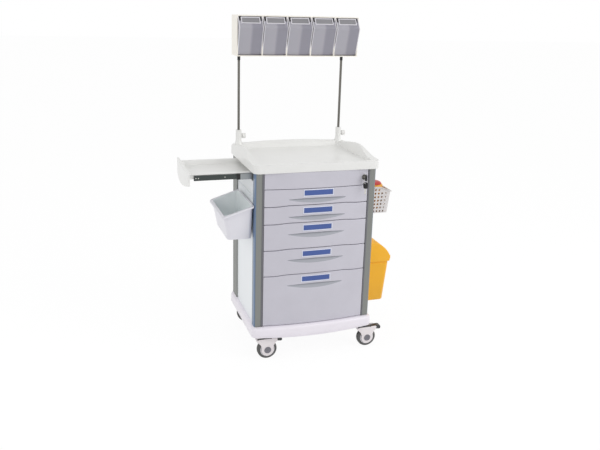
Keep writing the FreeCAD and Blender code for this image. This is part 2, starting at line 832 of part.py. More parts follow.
def shelf_end():
    """Bowed end panel that closes the slot when the shelf is in, with a drooping finger edge."""
    y0 = shelf_y0 - shelf_end_margin
    y1 = shelf_y1 + shelf_end_margin
    middle = (y0 + y1) / 2
    x0 = -shelf_inner_x
    outer_x = x0 - shelf_end_thickness
    top = shelf_top_z + shelf_end_rise
    low = top - shelf_end_height
    under = low - clear
    plan = face_of([line((x0, y0, under), (x0, y1, under)), line((x0, y1, under), (outer_x, y1, under)),
                    arc((outer_x, y1, under), (outer_x - shelf_end_bow, middle, under), (outer_x, y0, under)),
                    line((outer_x, y0, under), (x0, y0, under))])
    bowed = plan.extrude(Vector(0, 0, top - under + 10))
    x = x0 + 10
    outline = face_of([line((x, y0, low), (x, y0, top)), line((x, y0, top), (x, y1, top)),
                       line((x, y1, top), (x, y1, low)),
                       arc((x, y1, low), (x, middle, low - shelf_end_dip), (x, y0, low))])
    return bowed.common(outline.extrude(Vector(-clear, 0, 0)))


def shelf_slide(x0, x1, inset, height):
    """Front and rear members of one slide section; inset counts from the outermost member inwards."""
    pieces = []
    z0 = shelf_slide_z - height / 2
    z1 = shelf_slide_z + height / 2
    thickness = shelf_slide_thickness / 3
    for y, sign in ((shelf_y0, 1), (shelf_y1, -1)):
        near = y + sign * (shelf_slide_thickness - inset * thickness)
        web = block(x0, x1, near, near - sign * (thickness - running_play * 4), z0, z1)
        lip = block(x0, x1, near, near - sign * thickness * 0.6, z0, z1)
        pieces.append(web.fuse(lip))
    return pieces


def housing():
    """Open-fronted rack housing with dividers between the bins."""
    half = rack_width / 2
    outer = block(-half, half, rack_front, rack_rear, rack_bottom, rack_top)
    solid = outer
    for n in range(bin_count):
        x0 = -half + rack_wall + n * bin_pitch
        cell = block(x0, x0 + bin_pitch - rack_wall, rack_front - 1, rack_rear - rack_wall,
                     rack_bottom + rack_wall, rack_top - rack_wall)
        solid = solid.cut(cell)
    pivot_y, pivot_z = bin_pivot()
    bore = rod(bin_pivot_radius + running_play, (-half + rack_wall / 2, pivot_y, pivot_z),
               (half - rack_wall / 2, pivot_y, pivot_z))
    return solid.cut(bore)


def bin_pivot():
    """Y and Z of the tip-out bins' hinge line."""
    return rack_front + bin_bottom_inset + bin_pivot_rise, rack_bottom + rack_wall + bin_gap + bin_pivot_rise


def bin_profile(offset, x):
    """Side view of a tip-out bin, moved inwards by offset, as a face at one X."""
    low = rack_bottom + rack_wall + bin_gap + offset
    top = rack_top - rack_wall - bin_gap
    ridge_z = rack_top - bin_ridge_drop
    front_top = rack_front + bin_top_inset + offset
    ridge_y = rack_front - bin_ridge_reach + offset * 1.2
    front_low = rack_front + bin_bottom_inset + offset
    rear = rack_rear - rack_wall - bin_back_gap - offset
    rear_top = low + bin_back_height
    corner = bin_pivot_rise - offset
    k = corner * (1 - math.sqrt(0.5))
    slant_top = top + (3 * offset if offset else 0)
    points = [(x, front_low + corner, low), (x, rear - 20, low), (x, rear, low + 20), (x, rear, rear_top)]
    if offset:
        points += [(x, rear, slant_top), (x, front_top, slant_top)]
    else:
        points += [(x, front_top + 26, top), (x, front_top, top)]
    points += [(x, ridge_y, ridge_z), (x, front_low, low + corner)]
    edges = [line(a, b) for a, b in zip(points, points[1:])]
    edges.append(arc(points[-1], (x, front_low + k, low + k), points[0]))
    return face_of(edges)


def tip_bin(index):
    """Clear tip-out bin with a label frame and two pivot pins."""
    half = rack_width / 2
    x0 = -half + rack_wall + index * bin_pitch + bin_gap
    x1 = x0 + bin_pitch - rack_wall - 2 * bin_gap
    outer = bin_profile(0, x0).extrude(Vector(x1 - x0, 0, 0))
    inner = bin_profile(bin_wall, x0 + bin_wall).extrude(Vector(x1 - x0 - 2 * bin_wall, 0, 0))
    solid = outer.cut(inner)
    frame_width = (x1 - x0) * 0.78
    middle = (x0 + x1) / 2
    rise = rack_top - rack_wall - bin_gap - (rack_top - bin_ridge_drop)
    run = bin_ridge_reach + bin_top_inset
    tilt = math.degrees(math.atan2(run, rise))
    face_length = math.hypot(rise, run)
    frame = block(middle - frame_width / 2, middle + frame_width / 2, -1.6, 0.0, 3.0, face_length * 0.62)
    frame = frame.cut(block(middle - frame_width / 2 + 4, middle + frame_width / 2 - 4, -2, 1, 7.0,
                            face_length * 0.62 - 4))
    frame.rotate(Vector(middle, 0, 0), Vector(1, 0, 0), tilt)
    frame = frame.mirror(Vector(0, 0, 0), Vector(0, 0, 1))
    frame.translate(Vector(0, rack_front + bin_top_inset, rack_top - rack_wall - bin_gap))
    solid = solid.fuse(frame)
    pivot_y, pivot_z = bin_pivot()
    pin_reach = bin_gap + rack_wall / 2 - 0.4
    for start, end in ((x0 - pin_reach, x0 + 1), (x1 - 1, x1 + pin_reach)):
        solid = solid.fuse(rod(bin_pivot_radius, (start, pivot_y, pivot_z), (end, pivot_y, pivot_z)))
    return solid


def poles():
    """Two poles behind the housing, each with a separate dark collar pushed on below it."""
    pieces = []
    for x in (-pole_x, pole_x):
        pole = rod(pole_radius, (x, pole_y, pole_bottom), (x, pole_y, rack_top - 6))
        collar = rod(pole_radius + 3, (x, pole_y, rack_bottom - 26), (x, pole_y, rack_bottom - 2))
        pieces += [pole, collar.cut(pole)]
    return pieces


def axle_at(x, y):
    """Position of a wheel's centre; the castors trail towards +X."""
    return Vector(x + castor_trail, y, wheel_radius)


def fork_side(x, y):
    """Side view of the fork: flat brim on top, sides that draw in, cheek rounded below the axle."""
    c = axle_at(x, y)
    y0 = y - fork_inner / 2 - fork_cheek
    top = wheel_radius + hood_play + hood_thickness

    def at(dx, dz):
        return (c.x + dx, y0, c.z + dz)

    return face_of([
        line(at(-hood_front, top), at(hood_rear, top)),
        line(at(hood_rear, top), at(hood_rear, top - hood_brim)),
        arc(at(hood_rear, top - hood_brim), at(cheek_half + 5, cheek_waist + 8), at(cheek_half, cheek_waist)),
        line(at(cheek_half, cheek_waist), at(cheek_half, 0)),
        arc(at(cheek_half, 0), at(0, -cheek_half), at(-cheek_half, 0)),
        line(at(-cheek_half, 0), at(-cheek_half, cheek_waist)),
        arc(at(-cheek_half, cheek_waist), at(-cheek_half - 6, cheek_waist + 8),
            at(-hood_front, top - hood_brim)),
        line(at(-hood_front, top - hood_brim), at(-hood_front, top)),
    ])


def fork(x, y, braked):
    """Plastic fork: hood over the wheel, two cheeks down to the axle, swivel barrel on top."""
    c = axle_at(x, y)
    width = fork_inner + 2 * fork_cheek
    y0 = y - width / 2
    hood_in = wheel_radius + hood_play
    hood_out = hood_in + hood_thickness
    solid = fork_side(x, y).extrude(Vector(0, width, 0))
    barrel_top = castor_height - flange_height - flange_gap
    solid = solid.fuse(rod(swivel_radius, (x, y, c.z + hood_in / 2), (x, y, barrel_top)))
    room = Part.makeCylinder(hood_in, fork_inner, Vector(c.x, y - fork_inner / 2, c.z), Vector(0, 1, 0))
    solid = solid.cut(room)
    if braked:
        slot = block(c.x + pedal_pin_x - 2 * pedal_heel, c.x + hood_out + 2, y - fork_inner / 2,
                     y + fork_inner / 2, c.z, c.z + hood_out + 4)
        solid = solid.cut(slot)
        pin = pedal_pivot(x, y)
        solid = solid.fuse(rod(pedal_pin_radius, (pin.x, y - fork_inner / 2 - 1, pin.z),
                               (pin.x, y + fork_inner / 2 + 1, pin.z)))
    bore = rod(swivel_pin_radius + running_play, (x, y, c.z + hood_in - 2), (x, y, barrel_top + 1))
    solid = solid.cut(bore)
    return solid.cut(rod(axle_radius, (c.x, y0 - 1, c.z), (c.x, y0 + width + 1, c.z)))


def axle(x, y):
    """Axle pin with its two round caps."""
    c = axle_at(x, y)
    half = fork_inner / 2 + fork_cheek
    pin = rod(axle_radius, (c.x, y - half, c.z), (c.x, y + half, c.z))
    for sign in (-1, 1):
        cap = rod(axle_cap_radius, (c.x, y + sign * half, c.z),
                  (c.x, y + sign * (half + axle_cap_thickness), c.z))
        pin = pin.fuse(cap)
    return pin


def wheel(x, y):
    """Rubber tyre with rounded shoulders and plastic rim, both turned about the axle."""
    c = axle_at(x, y)
    half = wheel_width / 2
    rim = wheel_radius - tyre_thickness
    shoulder = wheel_radius - tyre_shoulder
    tread = half - tyre_shoulder
    bend = tyre_shoulder * math.sqrt(0.5)

    def at(dy, dz):
        return (c.x, y + dy, c.z + dz)

    tyre_face = face_of([
        line(at(-half, rim), at(half, rim)), line(at(half, rim), at(half, shoulder)),
        arc(at(half, shoulder), at(tread + bend, shoulder + bend), at(tread, wheel_radius)),
        line(at(tread, wheel_radius), at(-tread, wheel_radius)),
        arc(at(-tread, wheel_radius), at(-tread - bend, shoulder + bend), at(-half, shoulder)),
        line(at(-half, shoulder), at(-half, rim)),
    ])
    bore = axle_radius + running_play
    dish = half - rim_dish
    rim_face = polygon([at(-half - 1, bore), at(half + 1, bore), at(half + 1, rim_hub - 1),
                        at(dish, rim_hub + 1), at(dish, rim - rim_dish), at(half, rim), at(-half, rim),
                        at(-dish, rim - rim_dish), at(-dish, rim_hub + 1), at(-half - 1, rim_hub - 1)])
    axis = Vector(0, 1, 0)
    return [tyre_face.revolve(c, axis, 360), rim_face.revolve(c, axis, 360)]


def pedal_pivot(x, y):
    """Point on the brake pedal's hinge line."""
    c = axle_at(x, y)
    return Vector(c.x + pedal_pin_x, y, c.z + pedal_pin_z)


def pedal(x, y):
    """Brake pedal: an arm out of the hood with a raised foot pad, its end hooked down."""
    p = pedal_pivot(x, y)
    half = pedal_thickness / 2
    reach = pedal_length
    y0 = y - pedal_width / 2

    def at(dx, dz):
        return (p.x + dx, y0, p.z + dz)

    profile = face_of([
        line(at(-pedal_heel, half), at(2 * pedal_heel - 2, half)),
        line(at(2 * pedal_heel - 2, half), at(2 * pedal_heel + 4, half + 4)),
        line(at(2 * pedal_heel + 4, half + 4), at(reach - pedal_tip, half + 3)),
        arc(at(reach - pedal_tip, half + 3), at(reach - 2, half), at(reach, -half)),
        line(at(reach, -half), at(reach - 3, -half - 2)),
        line(at(reach - 3, -half - 2), at(reach - 2 * pedal_tip, -half)),
        line(at(reach - 2 * pedal_tip, -half), at(-pedal_heel, -half)),
        line(at(-pedal_heel, -half), at(-pedal_heel, half)),
    ])
    bore = rod(pedal_pin_radius + running_play, (p.x, y0 - 1, p.z), (p.x, y0 + pedal_width + 1, p.z))
    return profile.extrude(Vector(0, pedal_width, 0)).cut(bore)


def castor_stem(x, y):
    """Steel swivel pin with its flange, pressed into the base's boss."""
    flange_z = castor_height - flange_height
    pin_low = wheel_radius * 2 + hood_play + 1
    solid = rod(swivel_radius, (x, y, flange_z), (x, y, castor_height))
    solid = solid.fuse(rod(swivel_pin_radius + 2, (x, y, castor_height), (x, y, deck_z - base_wall)))
    return solid.fuse(rod(swivel_pin_radius, (x, y, pin_low), (x, y, flange_z)))


def tub_shape(grow, reach_top, reach_bottom, y0, y1, taper, z0, z1, radius):
    """Tapered body standing out from the right side; grow moves every wall but the rear one."""
    wide = (side_wall_x, side_wall_x + reach_top + grow, y0 - grow, y1 + grow, z1)
    small = (side_wall_x, side_wall_x + reach_bottom + grow, y0 + taper - grow, y1 - taper + grow, z0)
    return tapered_block(small, wide, radius + grow)


def tub(reach_top, reach_bottom, y0, y1, taper, top, height, rim_drop, wall, flange):
    """Open bin with tapered walls, a rim that slopes down outwards and a turned-out edge."""
    bottom = top - height
    args = (reach_top, reach_bottom, y0, y1, taper, bottom, top, tub_corner)
    outer = tub_shape(0, *args)
    x0 = side_wall_x
    x1 = side_wall_x + reach_top
    far = reach_top + clear
    drop = rim_drop * far / reach_top
    start = y0 - clear

    def above(z):
        over = z + clear
        side = polygon([(x0 - 1, start, z), (x0 - 1, start, over), (x0 + far, start, over),
                        (x0 + far, start, z - drop)])
        return side.extrude(Vector(0, y1 - y0 + 2 * clear, 0))

    edge = tub_shape(flange, *args)
    edge = edge.cut(above(top)).common(above(top - wall))
    body = outer.cut(above(top)).fuse(edge)
    inner = tapered_block((x0 + wall, x0 + reach_bottom - wall, y0 + taper + wall, y1 - taper - wall,
                           bottom + wall),
                          (x0 + wall, x1 - wall, y0 + wall, y1 - wall, top + wall), tub_corner - wall)
    return body.cut(inner)


def hook_lip(y0, y1, top):
    """Downturned lip on a bin's rear wall that drops behind the bracket's upstand."""
    inner = panel_outer + bracket_sheet + hook_play
    outer = inner + bracket_gap - 2 * hook_play
    hang = block(inner, outer, y0, y1, top - hook_drop, top)
    cap = block(inner, side_wall_x + 1, y0, y1, top - hook_cap, top)
    return hang.fuse(cap)


def bracket(y0, y1, top):
    """Steel J-shaped hanging rail screwed to the side panel."""
    x0 = panel_outer
    low = top - bracket_drop
    plate = block(x0, x0 + bracket_sheet, y0, y1, low, top - hook_cap - 1)
    web = block(x0, side_wall_x - 1.0, y0, y1, low, low + bracket_sheet)
    leg = block(x0 + bracket_sheet + bracket_gap, side_wall_x - 1.0, y0, y1, low, top - bracket_leg_drop)
    return plate.fuse(web).fuse(leg)


def basket():
    """Perforated basket: rows of square holes in its three free walls."""
    shape = tub(basket_reach, basket_bottom_reach, basket_front_y, basket_rear_y, basket_taper, basket_top_z,
                basket_height, basket_rim_drop, basket_wall, basket_flange)
    middle_y = (basket_front_y + basket_rear_y) / 2
    outermost = side_wall_x + basket_reach - basket_hole_margin
    rim_slope = basket_rim_drop / basket_reach
    cuts = []
    for row in range(basket_row_count):
        z = basket_top_z - basket_height + basket_hole + row * basket_pitch_z
        z1 = z + basket_hole
        if z1 < basket_top_z - basket_rim_drop - 2 * basket_flange:
            for n in range(basket_column_count):
                y = middle_y + (n - (basket_column_count - 1) / 2) * basket_pitch_y
                cuts.append(block(side_wall_x + clear, side_wall_x + basket_reach + 5, y - basket_hole / 2,
                                  y + basket_hole / 2, z, z1))
        for n in range(basket_column_count):
            x = outermost - n * basket_pitch_y
            if z1 < basket_top_z - rim_slope * (x + basket_hole - side_wall_x) - 2 * basket_flange:
                cuts.append(block(x - basket_hole / 2, x + basket_hole / 2, basket_front_y - clear,
                                  basket_rear_y + clear, z, z1))
    return shape.cut(Part.makeCompound(cuts))


def sharps_centre():
    """Centre line of the sharps container in the basket."""
    return side_wall_x + basket_bottom_reach / 2, (basket_front_y + basket_rear_y) / 2


def sharps_body():
    """Tapered sharps container that stands in the basket."""
    x, y = sharps_centre()
    z0 = sharps_z
    outer = Part.makeCone(sharps_radius - sharps_taper, sharps_radius, sharps_height, Vector(x, y, z0))
    inner = Part.makeCone(sharps_radius - sharps_taper - sharps_wall, sharps_radius - sharps_wall,
                          sharps_height - sharps_wall, Vector(x, y, z0 + sharps_wall))
    return outer.cut(inner)


def sharps_ring():
    """Amber collar on the container's mouth."""
    x, y = sharps_centre()
    z0 = sharps_z + sharps_height
    ring = Part.makeCone(sharps_radius + 3, sharps_radius, sharps_ring_height, Vector(x, y, z0))
    return ring.cut(Part.makeCylinder(sharps_opening, sharps_ring_height, Vector(x, y, z0)))


def sharps_cap():
    """Red twist cap over the collar's opening."""
    x, y = sharps_centre()
    z0 = sharps_z + sharps_height + sharps_ring_height + 0.3
    top = z0 + sharps_cap_height
    cap = Part.makeCone(sharps_cap_radius, sharps_cap_radius - sharps_grip, sharps_cap_height,
                        Vector(x, y, z0))
    grip = block(x - sharps_opening, x + sharps_opening, y - sharps_grip, y + sharps_grip, top,
                 top + sharps_grip)
    plug = Part.makeCylinder(sharps_opening - 0.4, 8, Vector(x, y, z0 - 8))
    return cap.fuse(grip).fuse(plug)


def waste_body():
    """Tapered waste bin whose rear wall rises to carry the lid's hinge."""
    shape = tub(waste_reach, waste_bottom_reach, waste_front_y, waste_rear_y, waste_taper, waste_top_z,
                waste_height, 0.0, waste_wall, 0.0)
    x0 = side_wall_x
    pin = lid_pivot()
    first = waste_front_y + ear_inset
    last = waste_rear_y - ear_inset
    back = block(x0, x0 + waste_wall, first, last, waste_top_z - 20, pin.z - ear_drop + ear_thickness)
    shape = shape.fuse(back)
    for y, sign in ((first, -1), (last, 1)):
        inward = y - sign * ear_thickness
        ear = block(x0, pin.x + ear_radius, y, inward, pin.z - ear_drop, pin.z - ear_radius)
        ear = ear.fuse(block(pin.x - ear_radius, pin.x + ear_radius, y, inward, pin.z - ear_drop, pin.z))
        ear = ear.fuse(rod(ear_radius, (pin.x, y, pin.z), (pin.x, inward, pin.z)))
        stub_end = y + sign * (ear_inset + lid_play + lid_wall - 0.5)
        stub = rod(lid_pin_radius, (pin.x, y - sign, pin.z), (pin.x, stub_end, pin.z))
        shape = shape.fuse(ear).fuse(stub)
    return shape


def lid_pivot():
    """Point on the waste lid's hinge line, at the top of the rear wall."""
    return Vector(side_wall_x + lid_pin_inset, 0, waste_top_z + lid_rise - lid_pin_drop)


def lid_profile(inset, y):
    """Side view of the domed lid: down from the hinge in a sweep to the straight rim band."""
    x0 = side_wall_x + lid_back
    x1 = side_wall_x + waste_reach + lid_play + lid_wall - inset
    low = waste_top_z - lid_band + (0 if inset == 0 else -10)
    band_top = waste_top_z + 6 - inset
    top = waste_top_z + lid_rise + 2 - inset
    shoulder_x = x0 + lid_flat
    back_x = x0 - (10 if inset else 0)
    middle_x = shoulder_x + (x1 - shoulder_x) * 0.66
    middle_z = band_top + (top - band_top) * 0.62
    return face_of([line((back_x, y, low), (back_x, y, top)), line((back_x, y, top), (shoulder_x, y, top)),
                    arc((shoulder_x, y, top), (middle_x, y, middle_z), (x1, y, band_top)),
                    line((x1, y, band_top), (x1, y, low)), line((x1, y, low), (back_x, y, low))])


def waste_lid():
    """Domed lid shell hung on the rear wall's pins."""
    y0 = waste_front_y - lid_play - lid_wall
    y1 = waste_rear_y + lid_play + lid_wall
    outer = lid_profile(0, y0).extrude(Vector(0, y1 - y0, 0))
    inner = lid_profile(lid_wall, y0 + lid_wall).extrude(Vector(0, y1 - y0 - 2 * lid_wall, 0))
    pin = lid_pivot()
    bore = rod(lid_pin_radius + running_play, (pin.x, y0 - 1, pin.z), (pin.x, y1 + 1, pin.z))
    return outer.cut(inner).cut(bore)


def lock_body():
    """Lock housing in the fascia with its raised escutcheon."""
    face = lock_face_y
    housing_rod = rod(lock_radius, (lock_x, face - 1, lock_z), (lock_x, front_back_y + lock_depth, lock_z))
    rim = rod(lock_radius + 3, (lock_x, face - 3.5, lock_z), (lock_x, face - 0.6, lock_z))
    bowed = bowed_block(front_half, body_front, front_back_y, front_bow_drawer, fascia_z, top_z)
    rim = rim.cut(bowed)
    solid = housing_rod.fuse(rim)
    return solid.cut(rod(lock_plug_radius + running_play, (lock_x, face - 10, lock_z),
                         (lock_x, front_back_y + lock_depth + 2, lock_z)))


def key_head(x, y, z):
    """Moulded key head with rounded corners, reaching forward from y in the YZ plane."""
    half = key_head_thickness / 2
    head = block(x - half, x + half, y, y - key_head_width, z - key_head_height / 2, z + key_head_height / 2)
    across = [e for e in head.Edges if abs(e.Vertexes[0].Point.x - e.Vertexes[1].Point.x) > 1]
    return head.makeFillet(key_head_corner, across)


def key():
    """Lock plug with the key in it: plug, shank and a flat head turned edge-on to the fascia."""
    plug_y = lock_face_y - lock_proud
    cam_y = front_back_y + lock_depth
    plug = rod(lock_plug_radius, (lock_x, plug_y, lock_z), (lock_x, cam_y, lock_z))
    cam = block(lock_x - cam_half, lock_x + cam_reach, cam_y, cam_y + cam_thickness, lock_z - cam_half,
                lock_z + cam_half)
    shank = block(lock_x - key_blade_thickness / 2, lock_x + key_blade_thickness / 2, plug_y, key_head_y,
                  lock_z - key_blade / 2, lock_z + key_blade / 2)
    head = key_head(lock_x, key_head_y, lock_z)
    eye = eye_centre()
    head = head.cut(rod(key_eye, (lock_x - 10, eye.y, eye.z), (lock_x + 10, eye.y, eye.z)))
    return [plug.fuse(cam).fuse(shank), head]


def eye_centre():
    """Centre of the eye in the key's head, near its lower outer corner."""
    return Vector(lock_x, key_head_y - key_head_width / 2, lock_z - key_head_height / 2 + key_eye_margin)


def ring_centre():
    """Centre of the key ring, hanging from the eye in the key's head."""
    eye = eye_centre()
    return Vector(eye.x, eye.y, eye.z - ring_radius)


def spare_key():
    """Key ring with a second key hanging from it, turned a little on the ring."""
    c = ring_centre()
    ring = rod(ring_radius + ring_wire, (c.x, c.y - ring_wire, c.z), (c.x, c.y + ring_wire, c.z))
    ring = ring.cut(rod(ring_radius - ring_wire, (c.x, c.y - 5, c.z), (c.x, c.y + 5, c.z)))
    eye_z = c.z - ring_radius
    high = eye_z + key_eye_margin
    head = key_head(c.x, c.y + key_head_width / 2, high - key_head_height / 2)
    head = head.cut(rod(key_eye, (c.x - 10, c.y, eye_z), (c.x + 10, c.y, eye_z)))
    low = high - key_head_height
    blade = block(c.x - key_blade_thickness / 2, c.x + key_blade_thickness / 2, c.y - key_blade / 2,
                  c.y + key_blade / 2, low, low - key_blade_length)
    for piece in (head, blade):
        piece.rotate(Vector(c.x, c.y, 0), Vector(0, 0, 1), spare_key_turn)
    return [ring, head, blade]


def main():
    """Build every node and write it."""
    os.makedirs("parts", exist_ok=True)
    save("base", [base()])
    save("corner_posts", both_sides(front_post()) + both_sides(rear_post()))
    save("post_inlays", both_sides(inlay()))
    right_panel = side_panel(top_z)
    left_panel = side_panel(top_z - shelf_slot_height).mirror(Vector(0, 0, 0), Vector(1, 0, 0))
    save("side_panel_right", [right_panel])
    save("side_panel_left", [left_panel])
    save("back_panel", [back_panel()])
    save("worktop", [pole_boss(worktop())])
    save("fascia", [fascia()])
    save("drawer_guides", guides())
    for index in range(len(front_heights)):
        name = "drawer_%d" % (len(front_heights) - index)
        save(name + "_front", [drawer_front(index)])
        save(name + "_box", drawer_box(index))
        save(name + "_label", label(index))
    save("lock_body", [lock_body()])
    save("key", key())
    save("spare_key", spare_key())

    save("shelf_tray", [shelf_tray()])
    save("shelf_end_panel", [shelf_end()])
    inner_out = -shelf_inner_x + 20
    save("shelf_slides_inner", shelf_slide(inner_out, shelf_tray_inner_end, 0,
                                           shelf_slide_height - 2 * shelf_slide_step))
    middle_out = -half_width - shelf_middle_reach
    save("shelf_slides_middle", shelf_slide(middle_out, middle_out + shelf_middle_length, 1,
                                            shelf_slide_height - shelf_slide_step))

    save("rack_housing", [housing()])
    save("rack_poles", poles())
    for index in range(bin_count):
        save("tip_bin_%d" % (index + 1), [tip_bin(index)])
    save("pole_clamps", [pole_clamp(-pole_x), pole_clamp(pole_x)])
    save("clamp_knob_left", [knob(-pole_x)])
    save("clamp_knob_right", [knob(pole_x)])

    places = {"front_left": (-1, -1), "front_right": (1, -1), "rear_left": (-1, 1), "rear_right": (1, 1)}
    stems = []
    for name, (sx, sy) in places.items():
        x = sx * castor_x
        y = sy * castor_y
        front = sy < 0
        save("fork_" + name, [fork(x, y, front), axle(x, y)])
        save("wheel_" + name, wheel(x, y))
        if front:
            save("pedal_" + name, [pedal(x, y)])
        stems.append(castor_stem(x, y))
    save("castor_stems", stems)

    hung = tub(tub_top_reach, tub_bottom_reach, tub_front_y, tub_rear_y, tub_taper_y, tub_top_z,
               tub_height, tub_rim_drop, tub_wall, tub_flange)
    lips = {"tub": (tub_front_y + 50, tub_rear_y - 50, tub_top_z),
            "basket": (basket_front_y + 30, basket_rear_y - 30, basket_top_z),
            "waste": (waste_front_y + 40, waste_rear_y - 40, waste_top_z - 30)}
    hung = hung.fuse(hook_lip(*lips["tub"]))
    save("side_tub", [hung.mirror(Vector(0, 0, 0), Vector(1, 0, 0))])
    save("basket", [basket().fuse(hook_lip(*lips["basket"]))])
    save("sharps_body", [sharps_body()])
    save("sharps_ring", [sharps_ring()])
    save("sharps_cap", [sharps_cap()])
    save("waste_bin", [waste_body().fuse(hook_lip(*lips["waste"]))])
    save("waste_lid", [waste_lid()])
    rails = {name: bracket(start - bracket_margin, end + bracket_margin, top)
             for name, (start, end, top) in lips.items()}
    rails["tub"] = rails["tub"].mirror(Vector(0, 0, 0), Vector(1, 0, 0))
    save("hanging_brackets", list(rails.values()))


main()
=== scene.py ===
"""Anaesthesia trolley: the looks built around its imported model, laid out as a Blender add-on.

Lengths inside the makers are millimetres in the cart's own axes: +X to its right, front towards -Y,
floor at Z = 0, with the middle of the worktop at X = Y = 0. put() turns them into metres in the frame.
"""
import json
import math

import bmesh
import bpy
import numpy as np
from bpy.props import FloatProperty, FloatVectorProperty, PointerProperty
from mathutils import Matrix, Vector

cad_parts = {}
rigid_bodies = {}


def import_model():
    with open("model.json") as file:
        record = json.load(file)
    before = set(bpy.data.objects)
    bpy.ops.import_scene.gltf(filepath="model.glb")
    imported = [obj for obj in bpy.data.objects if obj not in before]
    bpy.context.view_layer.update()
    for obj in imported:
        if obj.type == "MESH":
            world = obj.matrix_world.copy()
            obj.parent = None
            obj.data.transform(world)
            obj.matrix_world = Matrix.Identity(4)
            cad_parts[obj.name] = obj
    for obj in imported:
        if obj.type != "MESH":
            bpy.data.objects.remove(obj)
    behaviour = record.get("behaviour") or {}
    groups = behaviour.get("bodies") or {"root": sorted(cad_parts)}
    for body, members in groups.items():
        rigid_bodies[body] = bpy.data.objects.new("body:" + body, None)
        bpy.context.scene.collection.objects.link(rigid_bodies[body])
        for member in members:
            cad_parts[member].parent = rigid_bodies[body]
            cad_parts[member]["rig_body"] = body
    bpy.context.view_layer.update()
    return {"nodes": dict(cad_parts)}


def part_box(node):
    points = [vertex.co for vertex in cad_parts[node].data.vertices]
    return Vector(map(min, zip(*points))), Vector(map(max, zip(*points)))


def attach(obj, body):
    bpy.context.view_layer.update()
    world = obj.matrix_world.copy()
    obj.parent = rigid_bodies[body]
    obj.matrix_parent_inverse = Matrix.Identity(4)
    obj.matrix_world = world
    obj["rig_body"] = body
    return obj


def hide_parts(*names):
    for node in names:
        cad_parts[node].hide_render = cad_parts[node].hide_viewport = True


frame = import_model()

bl_info = {
    "name": "Anaesthesia Trolley",
    "version": (1, 0, 0),
    "blender": (4, 5, 0),
    "location": "View3D > Sidebar > Trolley",
    "description": "Moulded drug trolley with drawers, side shelf, tip-out bins and side containers",
    "category": "Add Mesh",
}

MM = 0.001
TOP_LOW, TOP_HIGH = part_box("worktop")
MIDDLE = ((TOP_LOW.x + TOP_HIGH.x) / 2, (TOP_LOW.y + TOP_HIGH.y) / 2)
DRAWERS = 5
BINS = 5
CASTORS = ("front_left", "front_right", "rear_left", "rear_right")
SHIFT = Vector((MIDDLE[0], MIDDLE[1], 0))


def in_cart(low, high):
    """Two corners in the frame's metres, turned to cart millimetres."""
    return (low - SHIFT) / MM, (high - SHIFT) / MM


def span(node):
    """Lowest and highest corner of a CAD node, in cart millimetres."""
    return in_cart(*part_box(node))


def linear(hex_colour):
    """RGBA with linear values, from an sRGB hex string."""
    values = [int(hex_colour[i:i + 2], 16) / 255 for i in (1, 3, 5)]
    return [v / 12.92 if v <= 0.04045 else ((v + 0.055) / 1.055) ** 2.4 for v in values] + [1.0]


# ---------------------------------------------------------------- settings


class TrolleySizes(bpy.types.PropertyGroup):
    """Sizes of the parts that the looks add to the solids."""
    edge: FloatProperty(
        name="Worktop edge", description="Rounding of the worktop's outer edges",
        default=0.003, unit="LENGTH", subtype="DISTANCE")
    label_frame: FloatProperty(
        name="Label rim", description="Width of the clear rim round a drawer's label card",
        default=0.0036, unit="LENGTH", subtype="DISTANCE")
    flute: FloatProperty(
        name="Post flute", description="Depth of the grooves along the corner posts",
        default=0.0009, unit="LENGTH", subtype="DISTANCE")
    hole: FloatProperty(
        name="Basket hole", description="Share of a basket cell that its hole takes",
        default=0.62, min=0.2, max=0.9)
    screw: FloatProperty(
        name="Screw head", description="Diameter of the panel screws' heads",
        default=0.008, unit="LENGTH", subtype="DISTANCE")


class TrolleyColours(bpy.types.PropertyGroup):
    """Colours that a user would change."""
    shell: FloatVectorProperty(
        name="Shell", description="Worktop, base and shelf", subtype="COLOR", size=4,
        default=linear("#eeeeec"))
    fronts: FloatVectorProperty(
        name="Fronts", description="Drawer fronts and the rail above them", subtype="COLOR", size=4,
        default=linear("#cac8d2"))
    strip: FloatVectorProperty(
        name="Strip", description="Coloured strip on the front posts", subtype="COLOR", size=4,
        default=linear("#687f9f"))
    label: FloatVectorProperty(
        name="Label", description="Drawer label cards", subtype="COLOR", size=4,
        default=linear("#4960a0"))
    waste: FloatVectorProperty(
        name="Waste bin", description="Waste bin and its lid", subtype="COLOR", size=4,
        default=linear("#f8b61f"))


class TrolleyStage(bpy.types.PropertyGroup):
    """Camera and light."""
    focal: FloatProperty(
        name="Focal length", description="Lens of the camera, on a 36 mm wide sensor",
        default=41.85, subtype="DISTANCE_CAMERA")
    yaw: FloatProperty(
        name="Yaw", description="Turn of the view away from straight ahead", default=math.radians(18.105),
        subtype="ANGLE")
    pitch: FloatProperty(
        name="Pitch", description="How far the view looks down", default=math.radians(-16.229),
        subtype="ANGLE")
    roll: FloatProperty(
        name="Roll", description="Tilt of the view", default=math.radians(1.578), subtype="ANGLE")
    world: FloatProperty(name="Ambient", description="Strength of the white surroundings", default=0.68)
    key: FloatProperty(name="Key lamp", description="Power of the large soft lamp", default=46.0)
    fill: FloatProperty(name="Fill lamp", description="Power of the lamp on the left", default=16.0)


# ---------------------------------------------------------------- finishes


def add(tree, kind, at=(0, 0), settings=None, inputs=None, links=None):
    """One node with its settings, its inputs' values and the sockets that feed it."""
    made = tree.nodes.new(kind)
    made.location = at
    for name, value in (settings or {}).items():
        setattr(made, name, value)
    for name, value in (inputs or {}).items():
        made.inputs[name].default_value = value
    for name, socket in (links or {}).items():
        tree.links.new(socket, made.inputs[name])
    return made


